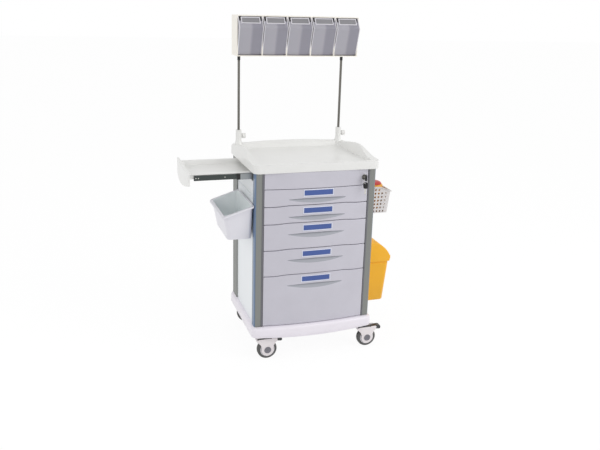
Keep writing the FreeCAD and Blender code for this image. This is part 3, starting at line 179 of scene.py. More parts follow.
def surface(name, values):
    """New material with a principled shader; returns the material, its tree and the shader."""
    material = bpy.data.materials.new(name)
    material.use_nodes = True
    tree = material.node_tree
    shader = tree.nodes["Principled BSDF"]
    for key, value in values.items():
        shader.inputs[key].default_value = value
    material.diffuse_color = values.get("Base Color", (0.8, 0.8, 0.8, 1))
    return material, tree, shader


def moulded(name, colour, roughness, ior=1.54, grain_mm=1.2, grain=0.05, drift=0.03, cloud_mm=90):
    """Injection-moulded plastic: faint drift of colour over the part and a fine spark-eroded grain.

    grain_mm is the spacing of the grain's pits, and cloud_mm that of the drift's patches.
    """
    material, tree, shader = surface(name, {"Roughness": roughness, "IOR": ior})
    place = add(tree, "ShaderNodeTexCoord", (-1100, 0)).outputs["Object"]
    cloud = add(tree, "ShaderNodeTexNoise", (-900, 200), inputs={"Scale": 1000 / cloud_mm, "Detail": 3.0},
                links={"Vector": place})
    ramp = add(tree, "ShaderNodeValToRGB", (-650, 200), links={"Fac": cloud.outputs["Fac"]})
    low = [max(0.0, c * (1 - drift)) for c in colour[:3]] + [1.0]
    high = [min(1.0, c * (1 + drift)) for c in colour[:3]] + [1.0]
    ramp.color_ramp.elements[0].position, ramp.color_ramp.elements[0].color = 0.3, low
    ramp.color_ramp.elements[1].position, ramp.color_ramp.elements[1].color = 0.7, high
    tree.links.new(ramp.outputs["Color"], shader.inputs["Base Color"])
    pits = add(tree, "ShaderNodeTexNoise", (-900, -200), inputs={"Scale": 1000 / grain_mm, "Detail": 2.0},
               links={"Vector": place})
    bump = add(tree, "ShaderNodeBump", (-300, -250),
               inputs={"Strength": grain, "Distance": 0.0001 * grain_mm},
               links={"Height": pits.outputs["Fac"]})
    tree.links.new(bump.outputs["Normal"], shader.inputs["Normal"])
    polish = add(tree, "ShaderNodeMapRange", (-600, -60),
                 inputs={"To Min": roughness - 0.05, "To Max": roughness + 0.06},
                 links={"Value": cloud.outputs["Fac"]})
    tree.links.new(polish.outputs["Result"], shader.inputs["Roughness"])
    material.diffuse_color = colour
    return material


def metal(name, colour, roughness, lines_mm=0.0, axis="Z", strength=0.12):
    """Metal; lines_mm is the spacing of drawing or brushing marks along an axis, 0 for a polished one."""
    material, tree, shader = surface(name, {"Base Color": colour, "Metallic": 1.0, "Roughness": roughness})
    if lines_mm:
        place = add(tree, "ShaderNodeTexCoord", (-1100, 0)).outputs["Object"]
        stretch = [1000 / lines_mm] * 3
        stretch["XYZ".index(axis)] = 6.0
        drawn = add(tree, "ShaderNodeMapping", (-900, 0), inputs={"Scale": stretch},
                    links={"Vector": place})
        lines = add(tree, "ShaderNodeTexNoise", (-700, 0), inputs={"Scale": 1.0, "Detail": 2.0},
                    links={"Vector": drawn.outputs["Vector"]})
        spread = add(tree, "ShaderNodeMapRange", (-450, 80),
                     inputs={"To Min": roughness * 0.8, "To Max": roughness * 1.25},
                     links={"Value": lines.outputs["Fac"]})
        tree.links.new(spread.outputs["Result"], shader.inputs["Roughness"])
        bump = add(tree, "ShaderNodeBump", (-300, -200), inputs={"Strength": strength, "Distance": 0.0002},
                   links={"Height": lines.outputs["Fac"]})
        tree.links.new(bump.outputs["Normal"], shader.inputs["Normal"])
    return material


def smoked(name):
    """Clear polystyrene with a smoke tint: the tip-out bins' walls let the housing show through, and each bin
    has painted light and shade across it.
    """
    material, tree, shader = surface(name, {
        "Base Color": linear("#b9b7c2"), "Roughness": 0.22, "IOR": 1.59, "Transmission Weight": 0.42})
    place = add(tree, "ShaderNodeTexCoord", (-900, 0)).outputs["Object"]
    haze = add(tree, "ShaderNodeTexNoise", (-700, 0), inputs={"Scale": 18.0, "Detail": 2.0},
               links={"Vector": place})
    dull = add(tree, "ShaderNodeMapRange", (-450, 0), inputs={"To Min": 0.16, "To Max": 0.3},
               links={"Value": haze.outputs["Fac"]})
    tree.links.new(dull.outputs["Result"], shader.inputs["Roughness"])
    # Painted light and shade: the left of every bin is painted lighter, for the lit back wall seen through
    # it, and the right darker, for the shade of its own side wall.
    start = span("tip_bin_1")[0].x
    pitch = span("tip_bin_2")[0].x - start
    along = add(tree, "ShaderNodeSeparateXYZ", (-700, -300), links={"Vector": place}).outputs["X"]
    from_first = add(tree, "ShaderNodeMath", (-550, -300), {"operation": "SUBTRACT"},
                     {1: start * MM + MIDDLE[0]}, {0: along})
    bins = add(tree, "ShaderNodeMath", (-400, -300), {"operation": "DIVIDE"}, {1: pitch * MM},
               {0: from_first.outputs[0]})
    across = add(tree, "ShaderNodeMath", (-250, -300), {"operation": "FRACT"}, links={0: bins.outputs[0]})
    shade = add(tree, "ShaderNodeMapRange", (-100, -300), {"interpolation_type": "SMOOTHSTEP"},
                {"From Min": 0.46, "From Max": 0.6}, {"Value": across.outputs[0]})
    tint = add(tree, "ShaderNodeMix", (50, -300), {"data_type": "RGBA"},
               {6: linear("#d0ced8"), 7: linear("#b3b1be")}, {0: shade.outputs["Result"]})
    tree.links.new(tint.outputs[2], shader.inputs["Base Color"])
    return material


def make_finishes(colours):
    """Every finish of the trolley, by the name of what it really is."""
    made = {}
    # High-gloss ABS, moulded: clean white with broad soft highlights and hardly any grain.
    made["white ABS"] = moulded("glossy white ABS", colours.shell, 0.3, grain_mm=45, grain=0.02,
                                drift=0.012)
    # The same gloss ABS from another mould: the base has a faint lilac cast.
    made["base ABS"] = moulded("glossy lilac-white ABS", linear("#f4eff7"), 0.3, grain_mm=45, grain=0.02,
                               drift=0.012)
    # Satin ABS in a cool lilac grey: wide dull sheen, colour a little uneven over a front.
    made["grey ABS"] = moulded("satin lilac-grey ABS", colours.fronts, 0.36, grain=0.06, drift=0.02)
    # The finger scoops keep the same ABS with a coarser spark grain and a duller sheen; their darker colour
    # is painted shade in the recess.
    made["grained ABS"] = moulded("spark-grained lilac-grey ABS", linear("#a9abb3"), 0.5, grain=0.3,
                                  drift=0.03)
    # Anodised aluminium extrusion: olive-grey, long drawing lines up the post.
    made["anodised"] = metal("anodised aluminium extrusion", linear("#8a8c89"), 0.4, 0.7)
    # Rigid PVC strip slid into the post: flat slate blue with a waxy shine.
    made["strip"] = moulded("slate blue PVC strip", colours.strip, 0.34, ior=1.53, grain_mm=0.8, drift=0.04)
    # Powder-coated steel sheet: white, smooth, with a slight orange peel.
    made["panel"] = moulded("white powder-coated steel", linear("#f2f6f9"), 0.3, ior=1.5, grain_mm=3.0,
                            grain=0.12, drift=0.01)
    # Zinc-plated steel: grey, faintly blotched, half dull.
    made["zinc"] = metal("zinc-plated steel", linear("#9a9ea0"), 0.38, 1.6, "X")
    # Cold-rolled slide steel under a dark chromate: nearly black grey with a hard shine.
    made["dark steel"] = metal("dark chromated slide steel", linear("#4b504f"), 0.33, 1.2, "X")
    # Ground stainless tube: dull grey, its highlights drawn out along it by fine lines.
    made["stainless"] = metal("dull stainless steel tube", linear("#6f6d68"), 0.3, 0.9, "Z", 0.04)
    # Nickel plate on a zinc casting: warm, mirror-like.
    made["nickel"] = metal("bright nickel plate", linear("#cfcdc8"), 0.14)
    # Polypropylene box, natural white: soft, slightly waxy.
    made["box"] = moulded("white polypropylene box", linear("#dfe0e3"), 0.42, ior=1.49, grain_mm=1.5,
                          grain=0.08)
    # Polypropylene with a white pigment: smooth outside, a soft waxy shine.
    made["tub"] = moulded("white polypropylene tub", linear("#e8e7ee"), 0.33, ior=1.49, drift=0.015)
    # Inside of the tub: painted light. A paler, bluer copy of the tub's polypropylene stands in for the light
    # that its thin walls let through.
    made["tub inside painted light"] = moulded("natural polypropylene lining", linear("#f8fdff"), 0.4, ior=1.49, drift=0.01)
    # Soft PVC lip pushed into the posts beside the fronts: dark grey, dull.
    made["seal"] = moulded("grey PVC edge seal", linear("#6e6e74"), 0.5, ior=1.53, grain_mm=0.8)
    # Polyethylene basket: warm white, soft and a little dull.
    made["basket"] = moulded("white polyethylene basket", linear("#dcd8d7"), 0.4, ior=1.51, drift=0.02)
    # Cream ABS of the rack housing, a touch yellower than the cart.
    made["cream"] = moulded("cream ABS housing", linear("#fdf8ee"), 0.32, drift=0.01)
    # Polystyrene, clear with a smoke tint: hard and glassy with a faint haze, and painted light and shade
    # across each bin.
    made["clear"] = smoked("smoke-tinted clear polystyrene")
    # Clear styrene label holder, seen edge-on as a pale bluish rim: that pale colour is a painted highlight
    # for the light that the clear rim catches.
    made["holder"] = moulded("clear styrene label holder", linear("#e2e5f3"), 0.15, ior=1.59, grain=0.01)
    # Printed card behind the holder: plain blue, matt.
    made["card"] = moulded("blue label card", colours.label, 0.55, ior=1.45, grain_mm=0.5, grain=0.1,
                           drift=0.05)
    # Grey paper slip behind the bin's frame, smooth and matt.
    made["slip"] = moulded("grey paper slip", linear("#8d8c90"), 0.6, ior=1.45, grain_mm=0.6, drift=0.06)
    # Polystyrene with a white pigment, for the bins' frames and edges: hard, evenly glossy.
    made["white frame"] = moulded("white polystyrene label frame", linear("#dcdae0"), 0.3)
    # Glass-filled nylon of the castor forks: white, semi-matt.
    made["nylon"] = moulded("white nylon castor fork", linear("#f0eaec"), 0.36, ior=1.53, drift=0.015)
    # The wheels' centres are unfilled nylon: a little shinier than the forks.
    made["wheel centre"] = moulded("white nylon wheel centre", linear("#ecebf0"), 0.3, ior=1.53, drift=0.01)
    # Thermoplastic rubber tyre: mid grey, dull, scuffed where it rolls.
    made["tyre"] = moulded("grey thermoplastic rubber", linear("#5c5c5b"), 0.62, ior=1.5, grain_mm=1.0,
                           grain=0.25, drift=0.12, cloud_mm=25)
    # Snap-on caps over the axles' ends: mid-grey ABS with a satin shine.
    made["hub cap"] = moulded("grey ABS axle cap", linear("#77767e"), 0.35)
    # Filled nylon of the brake pedals and bearing plates: charcoal, half dull.
    made["dark nylon"] = moulded("charcoal nylon", linear("#3f4041"), 0.42, ior=1.53, drift=0.06)
    # Acetal of the key bows, catches and collars: near black, with a slippery shine.
    made["black"] = moulded("black acetal", linear("#0d0e10"), 0.34, ior=1.48, drift=0.1)
    # Waste bin polypropylene: strong amber yellow with a low gloss.
    made["waste"] = moulded("amber yellow polypropylene", colours.waste, 0.36, ior=1.49, drift=0.02)
    # The sharps container's polypropylene: a deeper amber under the same low gloss.
    made["amber"] = moulded("amber polypropylene sharps body", linear("#e9a62c"), 0.35, ior=1.49)
    # Its cap: strong red polypropylene, a little glossier.
    made["red"] = moulded("red polypropylene cap", linear("#c22f2c"), 0.33, ior=1.49)
    return made


FINISH = {}


# ---------------------------------------------------------------- mesh helpers


def settle(piece, materials, body, nodes=(), slot=None, smooth=35.0, edge=0.0, segments=2):
    """Gives a new piece its finish, shading, rounded edges, body and the CAD nodes that it stands for."""
    for material in materials:
        piece.data.materials.append(FINISH[material])
    piece.data.shade_smooth()
    piece.data.set_sharp_from_angle(angle=math.radians(smooth))
    if edge:
        rounding = piece.modifiers.new("rounded edges", "BEVEL")
        rounding.width = edge * MM
        rounding.segments = segments
        rounding.limit_method = "ANGLE"
        rounding.angle_limit = math.radians(smooth)
        rounding.harden_normals = True
    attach(piece, body)
    if nodes:
        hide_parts(*nodes)
    return piece


def linked(name, data):
    """New object in the scene for a mesh, a lamp or a camera."""
    made = bpy.data.objects.new(name, data)
    bpy.context.scene.collection.objects.link(made)
    return made


def outward_mesh(name, points, faces):
    """Mesh in the frame's metres out of cart millimetres, with its faces turned outwards."""
    mesh = bpy.data.meshes.new(name)
    mesh.from_pydata([(x * MM + MIDDLE[0], y * MM + MIDDLE[1], z * MM) for x, y, z in points], [], faces)
    edit = bmesh.new()
    edit.from_mesh(mesh)
    bmesh.ops.recalc_face_normals(edit, faces=edit.faces)
    edit.to_mesh(mesh)
    edit.free()
    return mesh


def put(name, points, faces, materials, body, nodes=(), slot=None, groups=None, **shading):
    """New piece from cart millimetres; groups gives each face's place in materials."""
    mesh = outward_mesh(name, points, faces)
    if groups is not None:
        mesh.polygons.foreach_set("material_index", np.asarray(groups, np.int32))
    return settle(linked(name, mesh), materials, body, nodes, slot, **shading)


def islands(edit):
    """Connected groups of faces in a bmesh."""
    left = set(edit.faces)
    found = []
    while left:
        start = left.pop()
        group, todo = [start], [start]
        while todo:
            for edge in todo.pop().edges:
                for face in edge.link_faces:
                    if face in left:
                        left.discard(face)
                        group.append(face)
                        todo.append(face)
        found.append(group)
    return found


def dress(node, materials, name, slot, pick=None, **shading):
    """A merged and rounded copy of a CAD node that stands for it; pick chooses a material per solid."""
    source = frame["nodes"][node]
    mesh = source.data.copy()
    mesh.materials.clear()
    edit = bmesh.new()
    edit.from_mesh(mesh)
    bmesh.ops.remove_doubles(edit, verts=edit.verts, dist=2e-6)
    bmesh.ops.dissolve_limit(edit, angle_limit=math.radians(0.4), verts=edit.verts, edges=edit.edges)
    for face in edit.faces:
        face.material_index = 0
    if pick:
        for group in islands(edit):
            corners = [v.co for face in group for v in face.verts]
            low = Vector([min(c[i] for c in corners) for i in range(3)])
            high = Vector([max(c[i] for c in corners) for i in range(3)])
            number = pick(*in_cart(low, high))
            for face in group:
                face.material_index = number
    edit.to_mesh(mesh)
    edit.free()
    if "custom_normal" in mesh.attributes:
        mesh.attributes.remove(mesh.attributes["custom_normal"])
    piece = linked(name, mesh)
    return settle(piece, materials, source["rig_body"], [node], slot, **shading)


def coat(node, material):
    """A CAD node whose shape is right keeps its mesh and takes a finish."""
    source = frame["nodes"][node]
    if not source.material_slots:
        source.data.materials.append(FINISH[material])
    for place in source.material_slots:
        place.material = FINISH[material]


def skin(rings, caps=True, loop=False):
    """Vertices and faces of a surface through closed rings of equal length; loop joins last to first."""
    count = len(rings[0])
    points = [tuple(p) for one in rings for p in one]
    faces = []
    last = len(rings) if loop else len(rings) - 1
    for k in range(last):
        near, far = k * count, (k + 1) % len(rings) * count
        for n in range(count):
            m = (n + 1) % count
            faces.append((near + n, near + m, far + m, far + n))
    if caps and not loop:
        faces.append(tuple(reversed(range(count))))
        faces.append(tuple(range((len(rings) - 1) * count, len(rings) * count)))
    return points, faces


def both(part):
    """A part and its mirror image on the other side of the cart."""
    points, faces = part
    return part, ([(-x, y, z) for x, y, z in points], [tuple(reversed(f)) for f in faces])


def joined(*parts):
    """One list of vertices and faces out of several."""
    points, faces = [], []
    for some_points, some_faces in parts:
        start = len(points)
        points += some_points
        faces += [tuple(start + n for n in face) for face in some_faces]
    return points, faces


def brick(x0, x1, y0, y1, z0, z1):
    """Vertices and faces of a box."""
    return skin([[(x0, y0, z), (x1, y0, z), (x1, y1, z), (x0, y1, z)] for z in (z0, z1)])


def prism(outline, z0, z1):
    """Upright solid over a plan outline."""
    return skin([[(x, y, z) for x, y in outline] for z in (z0, z1)])


def plate(outline, y0, y1):
    """Solid between two depths over an outline in X and Z."""
    return skin([[(x, y, z) for x, z in outline] for y in (y0, y1)])


def turned(profile, centre, axis, count=48, hollow=False):
    """Solid of revolution: (along, radius) pairs turned about an axis; a hollow one closes on itself."""
    around = np.linspace(0, 2 * math.pi, count, endpoint=False)
    rings = []
    for along, radius in profile:
        one = []
        for angle in around:
            a, b = radius * math.cos(angle), radius * math.sin(angle)
            offset = {"X": (along, a, b), "Y": (a, along, b), "Z": (a, b, along)}[axis]
            one.append(tuple(c + o for c, o in zip(centre, offset)))
        rings.append(one)
    return skin(rings, loop=hollow)


def slab(place, u0, u1, v0, v1, low, high, columns=24):
    """Plate on a curved or leaning face; place turns (along, up, out) into a point."""
    rings = [[place(u, v0, low), place(u, v0, high), place(u, v1, high), place(u, v1, low)]
             for u in np.linspace(u0, u1, columns)]
    return skin(rings)


def rim(place, u0, u1, v0, v1, width, low, high, columns=24):
    """Rectangular frame on a curved or leaning face."""
    def loop(inset, out):
        a0, a1, b0, b1 = u0 + inset, u1 - inset, v0 + inset, v1 - inset
        across = np.linspace(0, 1, columns)
        points = [(a0 + (a1 - a0) * t, b0) for t in across[:-1]]
        points += [(a1, b0 + (b1 - b0) * t) for t in (0, 0.5)]
        points += [(a1 + (a0 - a1) * t, b1) for t in across[:-1]]
        points += [(a0, b1 + (b0 - b1) * t) for t in (0, 0.5)]
        return [place(u, v, out) for u, v in points]

    return skin([loop(0, low), loop(0, high), loop(width, high), loop(width, low)], loop=True)


def arc_points(x, y, radius, start, end, count):
    """Points on an arc between two angles in degrees."""
    return [(x + radius * math.cos(math.radians(a)), y + radius * math.sin(math.radians(a)))
            for a in np.linspace(start, end, count)]


# The bowed drawer fronts.
FRONT_Y = -224.0     # where their bow starts, level with the posts' faces
FRONT_BACK = -206.0  # their rear face
FRONT_HALF = 247.0   # half their width
FRONT_BOW = 17.0     # how far their middle stands out
HUMP = 5.5           # how far the parting lines rise towards the middle,
HUMP_START = 210.0   # from here on
HUMP_RAMP = 90.0     # over this length
SCOOP_HALF = 138.0   # half the width of a finger scoop
SCOOP_DEPTH = 11.0   # how deep it goes
SCOOP_STEPS = (1, 0.9, 0.8, 0.7, 0.6, 0.5, 0.4, 0.32, 0.24, 0.17, 0.11, 0.07, 0.04, 0.02, 0)
EDGE_STEPS = 6       # points round a front's edge
PLAIN_STEPS = 4      # points up the plain face between the lower edge and the scoop


def bow(x, half=FRONT_HALF, rise=FRONT_BOW):
    """How far a bowed front stands out at x."""
    radius = (half ** 2 + rise ** 2) / (2 * rise)
    return np.sqrt(radius ** 2 - x ** 2) - radius + rise


def hump(x):
    """Rise of the parting lines between fronts towards the middle."""
    share = min(max((HUMP_START - abs(x)) / HUMP_RAMP, 0.0), 1.0)
    return HUMP * share * share * (3 - 2 * share)


def on_front(x, z, out):
    """Point on the bowed fronts, standing out by a distance."""
    return x, FRONT_Y - bow(x) - out, z


def drawer_rings(low, high, low_hump, high_hump, scoop_z):
    """Closed sections across one drawer front: rounded edges and the finger scoop under the label."""
    corner = 3.0
    turn = np.radians(np.linspace(0, 90, EDGE_STEPS))
    rings = []
    for x in np.linspace(-FRONT_HALF, FRONT_HALF, 125):
        y = FRONT_Y - bow(x)
        z0 = low + low_hump * hump(x)
        z1 = high + high_hump * hump(x)
        share = max(0.0, 1 - (x / SCOOP_HALF) ** 2)
        depth = SCOOP_DEPTH * share ** 0.6
        upper = scoop_z + 4 * share
        lower = scoop_z - 2 - 17 * share
        ring = [(y + corner * (1 - math.sin(a)), z0 + corner * (1 - math.cos(a))) for a in turn]
        ring += [(y, z) for z in np.linspace(z0 + corner, lower, PLAIN_STEPS + 2)[1:-1]]
        for t in SCOOP_STEPS:
            ring.append((y + depth * (1 - t) ** 1.5 * min(1, t / 0.04), lower + (upper - lower) * (1 - t)))
        ring += [(y, z) for z in np.linspace(upper, z1 - corner, 8)[1:-1]]
        ring += [(y + corner * (1 - math.cos(a)), z1 - corner * (1 - math.sin(a))) for a in turn]
        ring += [(FRONT_BACK, z1), (FRONT_BACK, z0)]
        rings.append([(x, a, b) for a, b in ring])
    return rings


# ---------------------------------------------------------------- geometry nodes


def node_tree(name, inputs):
    """Empty geometry tree with a Geometry input and named inputs, each with its kind and default."""
    tree = bpy.data.node_groups.new(name, "GeometryNodeTree")
    tree.is_modifier = True
    tree.interface.new_socket("Geometry", in_out="INPUT", socket_type="NodeSocketGeometry")
    for label, (kind, default) in inputs.items():
        socket = tree.interface.new_socket(label, in_out="INPUT", socket_type="NodeSocket" + kind)
        if default is not None:
            socket.default_value = default
    tree.interface.new_socket("Geometry", in_out="OUTPUT", socket_type="NodeSocketGeometry")
    return tree, add(tree, "NodeGroupInput", (-1400, 0)), add(tree, "NodeGroupOutput", (1400, 0))


def finish_tree(tree, source, sink, geometry):
    """Ends a tree in real geometry with its finish."""
    real = add(tree, "GeometryNodeRealizeInstances", (1000, 0), links={"Geometry": geometry})
    coated = add(tree, "GeometryNodeSetMaterial", (1200, 0),
                 links={"Geometry": real.outputs["Geometry"], "Material": source.outputs["Material"]})
    tree.links.new(coated.outputs["Geometry"], sink.inputs["Geometry"])
    return tree


def perforation_tree():
    """Opens a rounded hole in every marked cell of a wall and gives the wall its thickness."""
    tree, source, sink = node_tree("perforated wall", {
        "Hole": ("Float", 0.62), "Thickness": ("Float", -0.0024), "Material": ("Material", None)})
    marked = add(tree, "GeometryNodeInputNamedAttribute", (-1400, -200), {"data_type": "BOOLEAN"},
                 {"Name": "hole"})
    inset = add(tree, "GeometryNodeExtrudeMesh", (-1100, 0), {"mode": "FACES"},
                {"Offset Scale": 0.0, "Individual": True},
                {"Mesh": source.outputs["Geometry"], "Selection": marked.outputs["Attribute"]})
    shrunk = add(tree, "GeometryNodeScaleElements", (-850, 0), {"domain": "FACE"}, None,
                 {"Geometry": inset.outputs["Mesh"], "Selection": inset.outputs["Top"],
                  "Scale": source.outputs["Hole"]})
    opened = add(tree, "GeometryNodeDeleteGeometry", (-600, 0), {"domain": "FACE"}, None,
                 {"Geometry": shrunk.outputs["Geometry"], "Selection": inset.outputs["Top"]})
    rounded = add(tree, "GeometryNodeSubdivisionSurface", (-350, 0), None, {"Level": 2},
                  {"Mesh": opened.outputs["Geometry"]})
    walls = add(tree, "GeometryNodeExtrudeMesh", (-100, 100), {"mode": "FACES"}, {"Individual": False},
                {"Mesh": rounded.outputs["Mesh"], "Offset Scale": source.outputs["Thickness"]})
    turned_round = add(tree, "GeometryNodeFlipFaces", (150, 100), links={"Mesh": walls.outputs["Mesh"]})
    both_sides = add(tree, "GeometryNodeJoinGeometry", (400, 0))
    tree.links.new(rounded.outputs["Mesh"], both_sides.inputs["Geometry"])
    tree.links.new(turned_round.outputs["Mesh"], both_sides.inputs["Geometry"])
    welded = add(tree, "GeometryNodeMergeByDistance", (650, 0), None, {"Distance": 0.00001},
                 {"Geometry": both_sides.outputs["Geometry"]})
    return finish_tree(tree, source, sink, welded.outputs["Geometry"])


def screw_tree():
    """Sets a domed screw head on every point."""
    tree, source, sink = node_tree("screw heads", {
        "Head": ("Float", 0.008), "Material": ("Material", None)})
    half = add(tree, "ShaderNodeMath", (-1150, -200), {"operation": "MULTIPLY"}, {1: 0.5},
               {0: source.outputs["Head"]})
    edge = add(tree, "ShaderNodeMath", (-1150, -400), {"operation": "MULTIPLY"}, {1: 0.32},
               {0: source.outputs["Head"]})
    dome = add(tree, "GeometryNodeMeshCone", (-900, -200), None,
               {"Vertices": 20, "Side Segments": 1, "Fill Segments": 1},
               {"Radius Bottom": half.outputs[0], "Radius Top": edge.outputs[0]})
    tall = add(tree, "ShaderNodeMath", (-1150, -600), {"operation": "MULTIPLY"}, {1: 0.28},
               {0: source.outputs["Head"]})
    tree.links.new(tall.outputs[0], dome.inputs["Depth"])
    heads = add(tree, "GeometryNodeInstanceOnPoints", (-500, 0), None, {"Rotation": (-math.pi / 2, 0, 0)},
                {"Points": source.outputs["Geometry"], "Instance": dome.outputs["Mesh"]})
    return finish_tree(tree, source, sink, heads.outputs["Instances"])


def grown(name, points, faces, holes, tree, settings):
    """Plain mesh object that a tree makes out of points and faces in cart millimetres."""
    mesh = outward_mesh(name + "_pattern", points, faces)
    if holes:
        mark = mesh.attributes.new("hole", "BOOLEAN", "FACE")
        mark.data.foreach_set("value", [bool(h) for h in holes])
    pattern = linked(name + "_pattern", mesh)
    modifier = pattern.modifiers.new("pattern", "NODES")
    modifier.node_group = tree
    for item in tree.interface.items_tree:
        if item.in_out == "INPUT" and item.name in settings:
            modifier[item.identifier] = settings[item.name]
    graph = bpy.context.evaluated_depsgraph_get()
    made = bpy.data.meshes.new_from_object(pattern.evaluated_get(graph), depsgraph=graph)
    made.name = name
    bpy.data.objects.remove(pattern)
    return linked(name, made)


# ---------------------------------------------------------------- operators


class Maker:
    """What every maker shares: it is one undo step and stops the script if it fails."""
    bl_options = {"REGISTER", "UNDO"}

    def execute(self, context):
        self.make(context.scene.trolley_sizes)
        return {"FINISHED"}


class TROLLEY_OT_finishes(Maker, bpy.types.Operator):
    """Make the finishes that all the pieces share"""
    bl_idname = "trolley.finishes"
    bl_label = "Finishes"

    def execute(self, context):
        FINISH.clear()
        FINISH.update(make_finishes(context.scene.trolley_colours))
        return {"FINISHED"}


class TROLLEY_OT_worktop(Maker, bpy.types.Operator):
    """Build the moulded worktop with its swept guards"""
    bl_idname = "trolley.worktop"
    bl_label = "Worktop"

    def make(self, sizes):
        dress("worktop", ["white ABS"], "worktop_moulding", "abs_white", edge=sizes.edge / MM,
              segments=3)


# The base.
BASE_HALF = 300.0    # half its width
BASE_DEPTH = 240.0   # half its depth, without the bow of its apron
BASE_BOW = 18.0      # how far the apron's middle stands out
BASE_WALL = 4.0      # thickness of its skirt and roof
BASE_ROUND = 15.0    # rounding of its upper edge
BASE_CORNER = 28.0   # radius of its corners in plan
SKIRT_LEVEL = 121.0  # height of the skirt's lower edge
SKIRT_SAG = 9.0      # how much lower it hangs in the middle of the apron
SKIRT_TOP = 60       # heights up to this one count from the skirt's lower edge
BOSS_X, BOSS_Y = 255, 210  # the bosses over the castors' pins, to both sides of the middle


class TROLLEY_OT_base(Maker, bpy.types.Operator):
    """Build the moulded base"""
    bl_idname = "trolley.base"
    bl_label = "Base"

    def make(self, sizes):
        top = span("base")[1].z
        rings = [self.ring(inset, z) for inset, z in ((BASE_WALL, top - BASE_WALL), (BASE_WALL, 0))]
        rings += [self.ring(inset, z) for inset, z in ((0.8, 0), (0, 1.2), (0, 20))]
        for angle in np.radians(np.linspace(0, 90, 8)):
            rings.append(self.ring(BASE_ROUND * (1 - math.cos(angle)),
                                   top - BASE_ROUND * (1 - math.sin(angle))))
        bosses = [turned([(118, 23), (118, 24), (150, 24)], (x, y, 0), "Z", 40)
                  for x in (-BOSS_X, BOSS_X) for y in (-BOSS_Y, BOSS_Y)]
        put("base_moulding", *joined(skin(rings), *bosses), ["base ABS"], "cart", ["base"], "abs_white",
            smooth=40)

    def ring(self, inset, z):
        """Plan of the base at one height; a low one counts from the drooping lower edge."""
        half, rear, radius = BASE_HALF - inset, BASE_DEPTH - inset, BASE_CORNER - inset
        straight = half - radius
        plan = [(x, -rear - bow(x, BASE_HALF, BASE_BOW)) for x in np.linspace(-straight, straight, 61)]
        edge = plan[-1][1]
        plan += arc_points(straight, edge + radius, radius, -84, 0, 10)
        plan += [(half, y) for y in np.linspace(edge + radius, rear - radius, 22)[1:-1]]
        plan += arc_points(straight, rear - radius, radius, 0, 90, 10)
        plan += [(x, rear) for x in np.linspace(straight, -straight, 30)[1:-1]]
        plan += arc_points(-straight, rear - radius, radius, 90, 180, 10)
        plan += [(-half, y) for y in np.linspace(rear - radius, edge + radius, 22)[1:-1]]
        plan += arc_points(-straight, edge + radius, radius, 180, 264, 10)
        if z > SKIRT_TOP:
            return [(x, y, z) for x, y in plan]
        return [(x, y, self.lower_edge(x, y) + z) for x, y in plan]

    def lower_edge(self, x, y):
        """Height of the skirt's lower edge: level round the sides, sagging along the front."""
        share = min(max((-150 - y) / 60, 0.0), 1.0)
        return SKIRT_LEVEL - share * SKIRT_SAG * max(0.0, 1 - (x / 275) ** 2)


# The right-hand posts in plan; the left-hand ones mirror them.
POST_INNER = 249.0   # their face towards the drawers
POST_OUTER = 288.0   # their outer face
POST_FRONT = -179.0  # rear face of the front post
POST_REAR = 133.0    # front face of the rear post
POST_BACK = 233.0    # its rear face
POST_ROUND = 12.0    # radius of the outer corners
FRONT_CORNER = (POST_OUTER - POST_ROUND, FRONT_Y + POST_ROUND)
REAR_CORNER = (POST_OUTER - POST_ROUND, POST_BACK - POST_ROUND)


